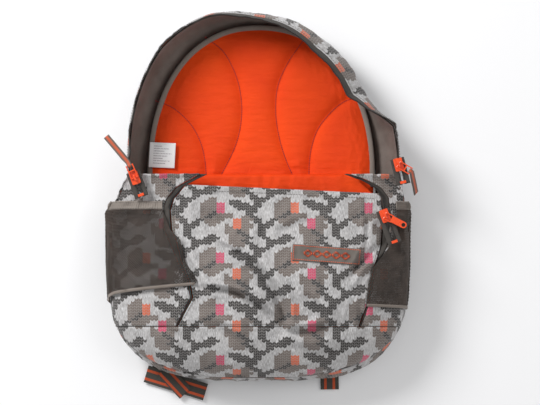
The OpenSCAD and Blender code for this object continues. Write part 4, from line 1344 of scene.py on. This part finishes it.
def pocketBinding(side, name, node):
    # gathered elastic along the pocket's mouth
    look = dict(low=-21.5, top=-11, thick=1.9, gathers=46)
    w = np.linspace(0, 1, 190)[:, None]
    v = np.linspace(0, 1, 9)[None, :]
    y = mix(look["low"], look["top"], v)
    grid = pocketSurface(side, *np.broadcast_arrays(w, y), lift=1.0)
    gather = 0.45 * np.sin(2 * np.pi * look["gathers"] * w + 1.3 * np.sin(9 * w)) * np.sin(np.pi * v) ** 0.5
    grid[..., 2] += gather + 0.6
    made = gridPiece(name, grid, ref=(0, -40, 0), thick=look["thick"])
    placePiece(made, "bag", bindingCloth, "binding", node)
    lines = [[tuple(p) for p in grid[:, k] + np.array([0, 0, 0.35])] for k in (1, 7)]
    stitches(name + "Stitches", lines, greyThread, spacing=3.6, long=2.6, radius=0.32)


leftSeam = meshPocket(-1, "leftPocketNet", "mesh_pocket_left")
rightSeam = meshPocket(1, "rightPocketNet", "mesh_pocket_right")
hemStrip("leftPocketSeam", leftSeam, 4.2, seamTape)
hemStrip("rightPocketSeam", rightSeam, 4.2, seamTape)
pocketBinding(-1, "leftPocketBinding", "pocket_binding_left")
pocketBinding(1, "rightPocketBinding", "pocket_binding_right")
print("pockets made")


# badge and label
badge = dict(centre=(88, -80), size=(88, 21), turn=-4.0, lift=1.3)


def badgePoint(u, v, lift):
    a = math.radians(badge["turn"])
    x = badge["centre"][0] + u * math.cos(a) - v * math.sin(a)
    y = badge["centre"][1] + u * math.sin(a) + v * math.cos(a)
    return onFront(x, y, lift)


def badgePieces():
    w, h = badge["size"]
    u, v = np.meshgrid(np.linspace(-w / 2, w / 2, 60), np.linspace(-h / 2, h / 2, 18), indexing="ij")
    patch = badgePoint(u, v, badge["lift"] + 0.5)
    made = gridPiece("badgePatch", patch, np.stack([u, v], 2), ref=(60, -90, 0), thick=1.1)
    placePiece(made, "bag", badgeCloth, "badge_cloth", "badge_patch")
    # a plain mark of its own: a row of lozenges in satin stitch
    strokes = []
    for middle in (-24, -12, 0, 12, 24):
        across, tall = 5.2, 4.1
        strokes.append([(middle - across, 0), (middle, tall), (middle + across, 0),
                        (middle, -tall), (middle - across, 0)])
    points, edges = [], []
    for stroke in strokes:
        for a, b in zip(stroke[:-1], stroke[1:]):
            a, b = np.array(a, float), np.array(b, float)
            d = (b - a) / np.linalg.norm(b - a)
            n = np.array([-d[1], d[0]])
            steps = int(np.linalg.norm(b - a) / 0.62)
            for k in range(steps + 1):
                p = a + (b - a) * k / steps
                side = 1.15 if k % 2 else -1.15
                q = p + n * side
                points.append(tuple(badgePoint(q[0], q[1], badge["lift"] + 1.0)))
                if k:
                    edges.append((len(points) - 2, len(points) - 1))
    mark = grown("badgeMark", points, edges, yarnNodes, orangeThread, **{"Yarn radius": 0.5 * mm, "Sides": 5})
    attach(mark, "bag")
    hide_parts("badge_mark")
    inX, inY = w / 2 - 1.6, h / 2 - 1.6
    border = [(-inX, -inY), (inX, -inY), (inX, inY), (-inX, inY), (-inX, -inY)]
    line = []
    for a, b in zip(border[:-1], border[1:]):
        for k in range(24):
            q = mix(np.array(a, float), np.array(b, float), k / 24)
            line.append(tuple(badgePoint(q[0], q[1], badge["lift"] + 0.75)))
    line.append(line[0])
    stitches("badgeStitches", [line], orangeThread, spacing=2.6, long=2.2, radius=0.42)


badgePieces()


def careLabel():
    look = dict(size=(34, 33), corner=(-146, 35), turn=-3.0, lift=7.2)
    w, h = look["size"]
    u, v = np.meshgrid(np.linspace(-w / 2, w / 2, 30), np.linspace(0, h, 30), indexing="ij")
    a = math.radians(look["turn"])
    cx, cy = look["corner"][0] + w / 2 + 3, look["corner"][1]
    x, y = cx + u * math.cos(a) - v * math.sin(a), cy + u * math.sin(a) + v * math.cos(a)
    curl = 2.6 * np.clip((u / w + 0.5) - 0.55, 0, 1) ** 2 * 4
    curl = curl + 1.2 * np.sin(v / h * 2.6 + 0.3) + 0.5 * np.sin(u / w * 5)
    grid = np.stack([x, y, pack["liningTop"] + look["lift"] + curl], 2)
    made = gridPiece("careLabel", grid, np.stack([u, v], 2), ref=(-120, 50, 0), thick=0.35)
    placePiece(made, "bag", satinWhite, "white_label", "care_label")


careLabel()
print("badge and label made")


# zips: tapes, coils, sliders, pulls and tabs
zips = dict(
    left=dict(at=(-158, 19, 67), turn=20, travel=12, pullTurn=24, pullLift=2, tabLift=-12, tabTurn=16),
    right=dict(at=(181, 36, 68), turn=14, travel=12, pullTurn=-120, pullLift=-1, tabLift=-62, tabTurn=-22),
    front=dict(at=(163, -30, 70.5), turn=20, travel=24, pullTurn=-117, pullLift=-1))
zipSizes = dict(tapeWide=18, tapeThick=1.2, sliderLong=17, lead=5.5, pinZ=5.0, pullLong=17)


def zipFrame(z):
    return Matrix.Translation(Vector(z["at"])) @ Matrix.Rotation(math.radians(z["turn"]), 4, "Z")


def moved(points, matrix):
    a = np.array(matrix)
    return np.asarray(points, float) @ a[:3, :3].T + a[:3, 3]


def zipTrack(which):
    k, z = zipSizes, zips[which]
    at = zipFrame(z)
    long = z["travel"] + k["sliderLong"] + k["lead"]
    top, low = k["sliderLong"] / 2, k["sliderLong"] / 2 - long
    ys = np.linspace(low, top, 30)
    lines = []
    for side in (-1, 1):
        u, v = np.meshgrid(np.linspace(1.4, k["tapeWide"] / 2, 7) * side, ys, indexing="ij")
        grid = np.stack([u, v, 0 * u + k["tapeThick"] / 2], 2)
        grid[..., 2] += 0.25 * np.sin(v * 0.5 + side) * (np.abs(u) / 9)
        name = which + ("TapeLeft" if side < 0 else "TapeRight")
        made = gridPiece(name, moved(grid, at), ref=(0, 0, 0), thick=k["tapeThick"])
        placePiece(made, "bag", zipTape, "zip_tape", *(["zip_track_" + which] if side < 0 else []))
        path = moved(np.stack([0 * ys + side * 2.6, ys, 0 * ys], 1), at)
        across = moved(np.stack([0 * ys + side, 0 * ys, 0 * ys], 1), at.to_3x3().to_4x4())
        lines.append(coilLine(path, across, 1.7, 1.15, 1.1))
    coils(which + "Coils", lines)


for which in zips:
    zipTrack(which)

coils("rimCoil", [coilLine(tapeEdge, tapeDirection, 1.8, 1.3, 1.0, 6)], radius=0.42)


def frontCoils():
    # coils of the open front zip, up both sides of the panel's edge
    lines = []
    for side in (-1, 1):
        ys = np.linspace(-20, 23, 60)
        x = frontZipX(side, ys) + side * 1.6
        path = onFront(x, ys, 0.2)
        across = np.stack([0 * ys + side, 0 * ys, 0 * ys], 1)
        lines.append(coilLine(path, across, 1.7, 1.1, 1.0))
    coils("frontZipCoils", lines)


frontCoils()


def softened(node, width, material, segments=2):
    # a CAD piece with its edges rounded as a casting's are
    source = frame["nodes"][node]
    mesh = source.data.copy()
    mesh.name = node + "_cast"
    bm = bmesh.new()
    bm.from_mesh(mesh)
    bmesh.ops.remove_doubles(bm, verts=bm.verts, dist=1e-6)
    bmesh.ops.dissolve_limit(bm, angle_limit=0.02, verts=bm.verts, edges=bm.edges)
    bmesh.ops.triangulate(bm, faces=[f for f in bm.faces if len(f.verts) > 24])
    bm.to_mesh(mesh)
    bm.free()
    made = bpy.data.objects.new(node + "_cast", mesh)
    scene.collection.objects.link(made)
    bevel = made.modifiers.new("edges", "BEVEL")
    bevel.width, bevel.segments, bevel.limit_method = width * mm, segments, "ANGLE"
    bevel.angle_limit = math.radians(40)
    bevel.harden_normals = False
    mesh.polygons.foreach_set("use_smooth", [False] * len(mesh.polygons))
    mesh.materials.clear()
    mesh.materials.append(material)
    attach(made, source["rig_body"])
    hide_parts(node)
    return made


for node in ("slider_left", "slider_right", "slider_front"):
    softened(node, 0.45, enamelOrange)
for node in ("pull_left", "pull_right", "pull_front"):
    softened(node, 0.3, enamelOrange)
for node in ("zip_stop_left", "zip_stop_right", "zip_stop_front"):
    softened(node, 0.25, enamelOrange)
for node in ("ladder_lock_left", "ladder_lock_right"):
    softened(node, 0.8, blackPlastic, 3)


def clothTab(which):
    # folded tape round the pull's bar, stitched flat
    look = dict(long=50, wide=8, thick=2.2, hub=2.15, neck=6.2)
    z = zips[which]
    pin = Vector(z["at"]) + Vector((0, 0, zipSizes["pinZ"]))
    at = (Matrix.Translation(pin)
          @ Matrix.Rotation(math.radians(z["pullTurn"]), 4, "Z")
          @ Matrix.Rotation(math.radians(z["pullLift"]), 4, "X")
          @ Matrix.Translation((0, zipSizes["pullLong"], 0))
          @ Matrix.Rotation(math.radians(z["tabLift"]), 4, "X"))
    swing = math.radians(z["tabTurn"])
    rings, uv = [], []
    lengths = np.concatenate([np.linspace(-2.3, 5, 12), np.linspace(6, look["long"], 40)])
    for s in lengths:
        if s < 0:
            half = math.sqrt(max(0.02, look["hub"] ** 2 - min(abs(s), look["hub"]) ** 2))
        elif s < 3.4:
            half = mix(look["hub"], look["thick"] / 2, s / 3.4)
        else:
            half = look["thick"] / 2 + 0.12 * math.sin(s * 0.35)
        wide = mix(look["neck"], look["wide"], min(1, max(0, (s - 4) / 8))) / 2
        if s > look["long"] - 1:
            half *= 0.8
        bend = 1.2 * math.sin(s / look["long"] * 2.4)
        ring = []
        for k in range(20):
            a = 2 * math.pi * k / 20
            cx = math.copysign(abs(math.cos(a)) ** 0.35, math.cos(a)) * wide
            cz = math.copysign(abs(math.sin(a)) ** 0.6, math.sin(a)) * half
            if s > 5:
                x = (s - 5) * -math.sin(swing) + cx * math.cos(swing)
                y = 5 + (s - 5) * math.cos(swing) + cx * math.sin(swing)
            else:
                x, y = cx, s
            ring.append((x, y, cz + bend * max(0, s) / look["long"]))
            uv.append((cx + 4, s))
        rings.append(ring)
    rings = moved(np.array(rings), at)
    made = closedSolid(which + "Tab", rings, np.array(uv))
    placePiece(made, "tab_" + which, tabCloth, "tab_cloth", "tab_" + which)
    line = []
    for s in np.linspace(6, look["long"] - 2, 40):
        past = s - 5
        arched = 1.2 * math.sin(s / look["long"] * 2.4) * s / look["long"]
        line.append((past * -math.sin(swing), 5 + past * math.cos(swing), look["thick"] / 2 + 0.25 + arched))
    sides = []
    for off in (-3.1, 3.1):
        aside = np.array([off * math.cos(swing), off * math.sin(swing), -0.1])
        sides.append(moved(np.array(line) + aside, at))
    stitches(which + "TabStitches", sides, greyThread, "tab_" + which, 2.4, 1.8, 0.28)


clothTab("left")
clothTab("right")
print("zips made")


# pads and straps under the back
def sweptPad(name, path, widths, low, high, body, material, slotName, node,
             sides=26, square=0.42, crown=1.0):
    # a padded strip along a path in the ground plane
    path, widths = np.asarray(path, float), np.asarray(widths, float)
    along = np.gradient(path, axis=0)
    along /= np.linalg.norm(along, axis=1, keepdims=True)
    normal = np.stack([along[:, 1], -along[:, 0]], 1)
    middle, half = (low + high) / 2, (high - low) / 2
    rings = []
    for p, n, w in zip(path, normal, widths):
        ring = []
        for k in range(sides):
            a = 2 * math.pi * k / sides
            c, s = math.cos(a), math.sin(a)
            u = math.copysign(abs(c) ** square, c) * w / 2
            v = math.copysign(abs(s) ** 0.8, s) * half * (crown + (1 - crown) * abs(c) ** 2)
            ring.append((p[0] + n[0] * u, p[1] + n[1] * u, middle + v))
        rings.append(ring)
    rings = np.array(rings)
    rings[..., 2] = np.clip(rings[..., 2] + crumple(rings, 24, 0.5, 5.0), low, high)
    made = closedSolid(name, rings)
    placePiece(made, body, material, slotName, node)
    return made


def stadium(length, width, count=60):
    s = np.linspace(-length / 2 + 0.4, length / 2 - 0.4, count)
    end = np.clip(np.abs(s) - (length / 2 - width / 2), 0, None)
    return s, 2 * np.sqrt(np.maximum((width / 2) ** 2 - end ** 2, 1.0))


def backPads():
    s, w = stadium(180 + 78, 78)
    for side, name, node in ((-1, "leftBackPad", "back_pad_left"), (1, "rightBackPad", "back_pad_right")):
        middle = np.stack([0 * s + side * 62, s + 30], 1)
        pad = sweptPad(name, middle, w, 11.2, 15.7, "bag", meshBlack, "back_mesh", node)
    s, w = stadium(170 + 60, 60)
    middle = np.stack([s, 0 * s - 150], 1)
    pad = sweptPad("lumbarPad", middle, w, 11.2, 15.7, "bag", meshBlack, "back_mesh", "lumbar_pad")


def shoulderPads():
    for side, name, node in ((-1, "leftShoulderPad", "shoulder_pad_left"),
                             (1, "rightShoulderPad", "shoulder_pad_right")):
        t = np.linspace(0, 1, 70)[:, None]
        a, b, c = np.array([58.0, 146]), np.array([86.0, 60]), np.array([92.0, -66])
        path = (1 - t) ** 2 * a + 2 * t * (1 - t) * b + t * t * c
        path = path * np.array([side, 1])
        width = 62 * np.interp(t[:, 0], [0, 0.3, 0.8, 1], [0.82, 1, 0.8, 0.55])
        pad = sweptPad(name, path, width, 0.0, 10.0, "bag", strapCloth, "strap_cloth", node, crown=0.96)
        along = np.gradient(path, axis=0)
        along /= np.linalg.norm(along, axis=1, keepdims=True)
        normal = np.stack([along[:, 1], -along[:, 0]], 1)
        lines = []
        for off in (-1, 1):
            edge = path + normal * (width / 2 - 5.5)[:, None] * off
            lines.append(np.concatenate([edge, np.full((len(edge), 1), 0.35)], 1))
        stitches(name + "Stitches", lines, greyThread, spacing=3.4, long=2.6, radius=0.35)


def flatStrap(name, path, width, low, high, body, material, slotName, *nodes, square=0.18):
    # a flat strap; path points are x, y
    path = np.asarray(path, float)
    along = np.gradient(path, axis=0)
    along /= np.linalg.norm(along, axis=1, keepdims=True)
    normal = np.stack([along[:, 1], -along[:, 0]], 1)
    width = np.broadcast_to(np.asarray(width, float), (len(path),))
    low, high = np.broadcast_to(low, (len(path),)), np.broadcast_to(high, (len(path),))
    total = np.concatenate([[0], np.cumsum(np.linalg.norm(np.diff(path, axis=0), axis=1))])
    rings, uv = [], []
    for p, n, w, lo, hi, far in zip(path, normal, width, low, high, total):
        ring = []
        for k in range(24):
            a = 2 * math.pi * k / 24
            c, s = math.cos(a), math.sin(a)
            u = math.copysign(abs(c) ** square, c) * w / 2
            v = math.copysign(abs(s) ** 0.5, s) * (hi - lo) / 2
            ring.append((p[0] + n[0] * u, p[1] + n[1] * u, (lo + hi) / 2 + v))
            uv.append((u + w / 2, far))
        rings.append(ring)
    made = closedSolid(name, np.array(rings), np.array(uv))
    placePiece(made, body, material, slotName, *nodes)
    return made


def line2(a, b, count=30):
    t = np.linspace(0, 1, count)[:, None]
    return np.array(a, float) * (1 - t) + np.array(b, float) * t


backPads()
shoulderPads()
flatStrap("yokePanel", line2((0, 156), (0, 180)), np.linspace(176, 128, 30), 7.5, 10.5,
          "bag", strapCloth, "strap_cloth", "yoke_panel")


def haulLoop():
    look = dict(radius=18.0, web=10.0, straight=22.0, seam=184, low=2.2, high=4.7)
    mid = look["radius"] + look["web"] / 2
    down = look["seam"] - look["straight"]
    path = [(-mid, look["seam"] - k) for k in np.linspace(0.2, look["straight"], 10)]
    path += [(mid * math.cos(a), down + mid * math.sin(a))
             for a in np.linspace(math.pi, 2 * math.pi, 36)[1:-1]]
    path += [(mid, look["seam"] - k) for k in np.linspace(look["straight"], 0.2, 10)]
    flatStrap("haulLoop", path, look["web"], look["low"], look["high"],
              "haul_loop", webbingDark, "webbing", "haul_loop")
    bar = line2((-18.5, look["seam"] - 5), (18.5, look["seam"] - 5), 20)
    flatStrap("haulLoopBar", bar, 9.6, 2.25, 4.6, "haul_loop", webbingDark, "webbing")


def adjusters():
    look = dict(strapX=92, top=-97.6, low=-205, web=25, tabTop=-203, tabLow=-229, tabX=96)
    for side, word in ((-1, "left"), (1, "right")):
        x = side * look["strapX"]
        flatStrap(word + "AdjusterWeb", line2((x, look["top"]), (x, look["low"])), look["web"], 4.0, 5.8,
                  "bag", webbingDark, "webbing", "adjuster_web_" + word)
        anchor = line2((x, look["tabTop"]), (side * look["tabX"], look["tabLow"]))
        flatStrap(word + "AnchorTab", anchor, np.linspace(38, 70, 30), 6.4, 9.4,
                  "bag", strapCloth, "strap_cloth", "anchor_tab_" + word, square=0.12)


def webTails():
    # flat layers, one across the other: name, ends, width, height, the node it stands for
    layers = [("rightWebTail", (92, -100.5), (94, -254), 60, 24, (1.2, 3.0), ["web_tail_right"]),
              ("leftWebTail", (-92, -100.5), (-131, -240), 60, 24, (1.2, 3.0), ["web_tail_left"]),
              ("leftWebTailEnd", (-147, -233.5), (-69, -257.5), 50, 22.5, (3.1, 4.8), []),
              ("leftWebTailFold", (-124, -228), (-95, -259), 30, 21, (4.85, 6.4), [])]
    for name, start, end, count, width, (low, high), nodes in layers:
        flatStrap(name, line2(start, end, count), width, low, high,
                  "bag", webbingStriped, "webbing", *nodes)


haulLoop()
adjusters()
webTails()


# the layers of the back panel
def backSlab(name, node, grow, low, high, material, slotName, rings=24, around=220):
    side, zone, t = ringStations(60, 30, 100)
    x, y = panelPoints(side, zone, t, grow)
    loop = np.concatenate([np.stack([x, y], 1), [[x[0], y[0]]]])
    total = np.concatenate([[0], np.cumsum(np.linalg.norm(np.diff(loop, axis=0), axis=1))])
    want = np.linspace(0, total[-1], around, endpoint=False)
    edge = np.stack([np.interp(want, total, loop[:, c]) for c in range(2)], 1)
    centre = np.array([0.0, -5.0])
    r = np.linspace(0, 1, rings)
    flat = centre + (edge[:, None] - centre) * r[None, :, None]
    middle = (low + high) / 2
    roundOff = np.clip((1 - r) * 60 / (high - low), 0, 1) ** 0.5 * (high - low) / 2
    rise = np.broadcast_to(roundOff[None, :], flat.shape[:2])[..., None]
    upper = np.concatenate([flat, middle + rise], 2)
    lower = np.concatenate([flat, middle - rise], 2)[:, ::-1]
    grid = np.concatenate([upper, lower[:, 1:]], 1)
    uv = np.concatenate([grid, grid[:1]])[..., :2]
    made = gridPiece(name, grid, uv, closed=True, ref=(0, -5, middle))
    weld(made)
    outwards(made)
    placePiece(made, "bag", material, slotName, node)
    return made


backSlab("backCover", "back_cover", 0, 16, 18, meshBlack, "back_mesh")
backSlab("backFoam", "back_foam", -6, 18.3, 26, foamGrey, "foam")
print("back made")


# seams
def panelSeams():
    lines = []
    xs = np.linspace(frontZipX(-1, -170) + 4, frontZipX(1, -170) - 4, 110)
    lines.append(onFront(xs, np.full_like(xs, -168.5), 0.5))
    xs = np.linspace(frontZipX(-1, 4) + 6, frontZipX(1, 0) - 8, 110)
    lines.append(onFront(xs, edgeAt(xs) - 4.5, 0.5))
    for side in (-1, 1):
        ys = np.linspace(-160, -12, 90)
        lines.append(onFront(frontZipX(side, ys) - side * 4.5, ys, 0.5))
    stitches("panelStitches", lines, greyThread, spacing=3.4, long=2.5, radius=0.34)


def rimSeam():
    # a row of stitches on the wall, just below the tape
    at, d = archPath(wallGrid, -1)
    out = np.stack([at[:, 0], at[:, 1] - 30, 0 * at[:, 0]], 1)
    out /= np.linalg.norm(out, axis=1, keepdims=True)
    stitches("rimStitches", [at - d * 2.2 + out * 0.7], greyThread, spacing=3.4, long=2.5, radius=0.34)


panelSeams()
rimSeam()
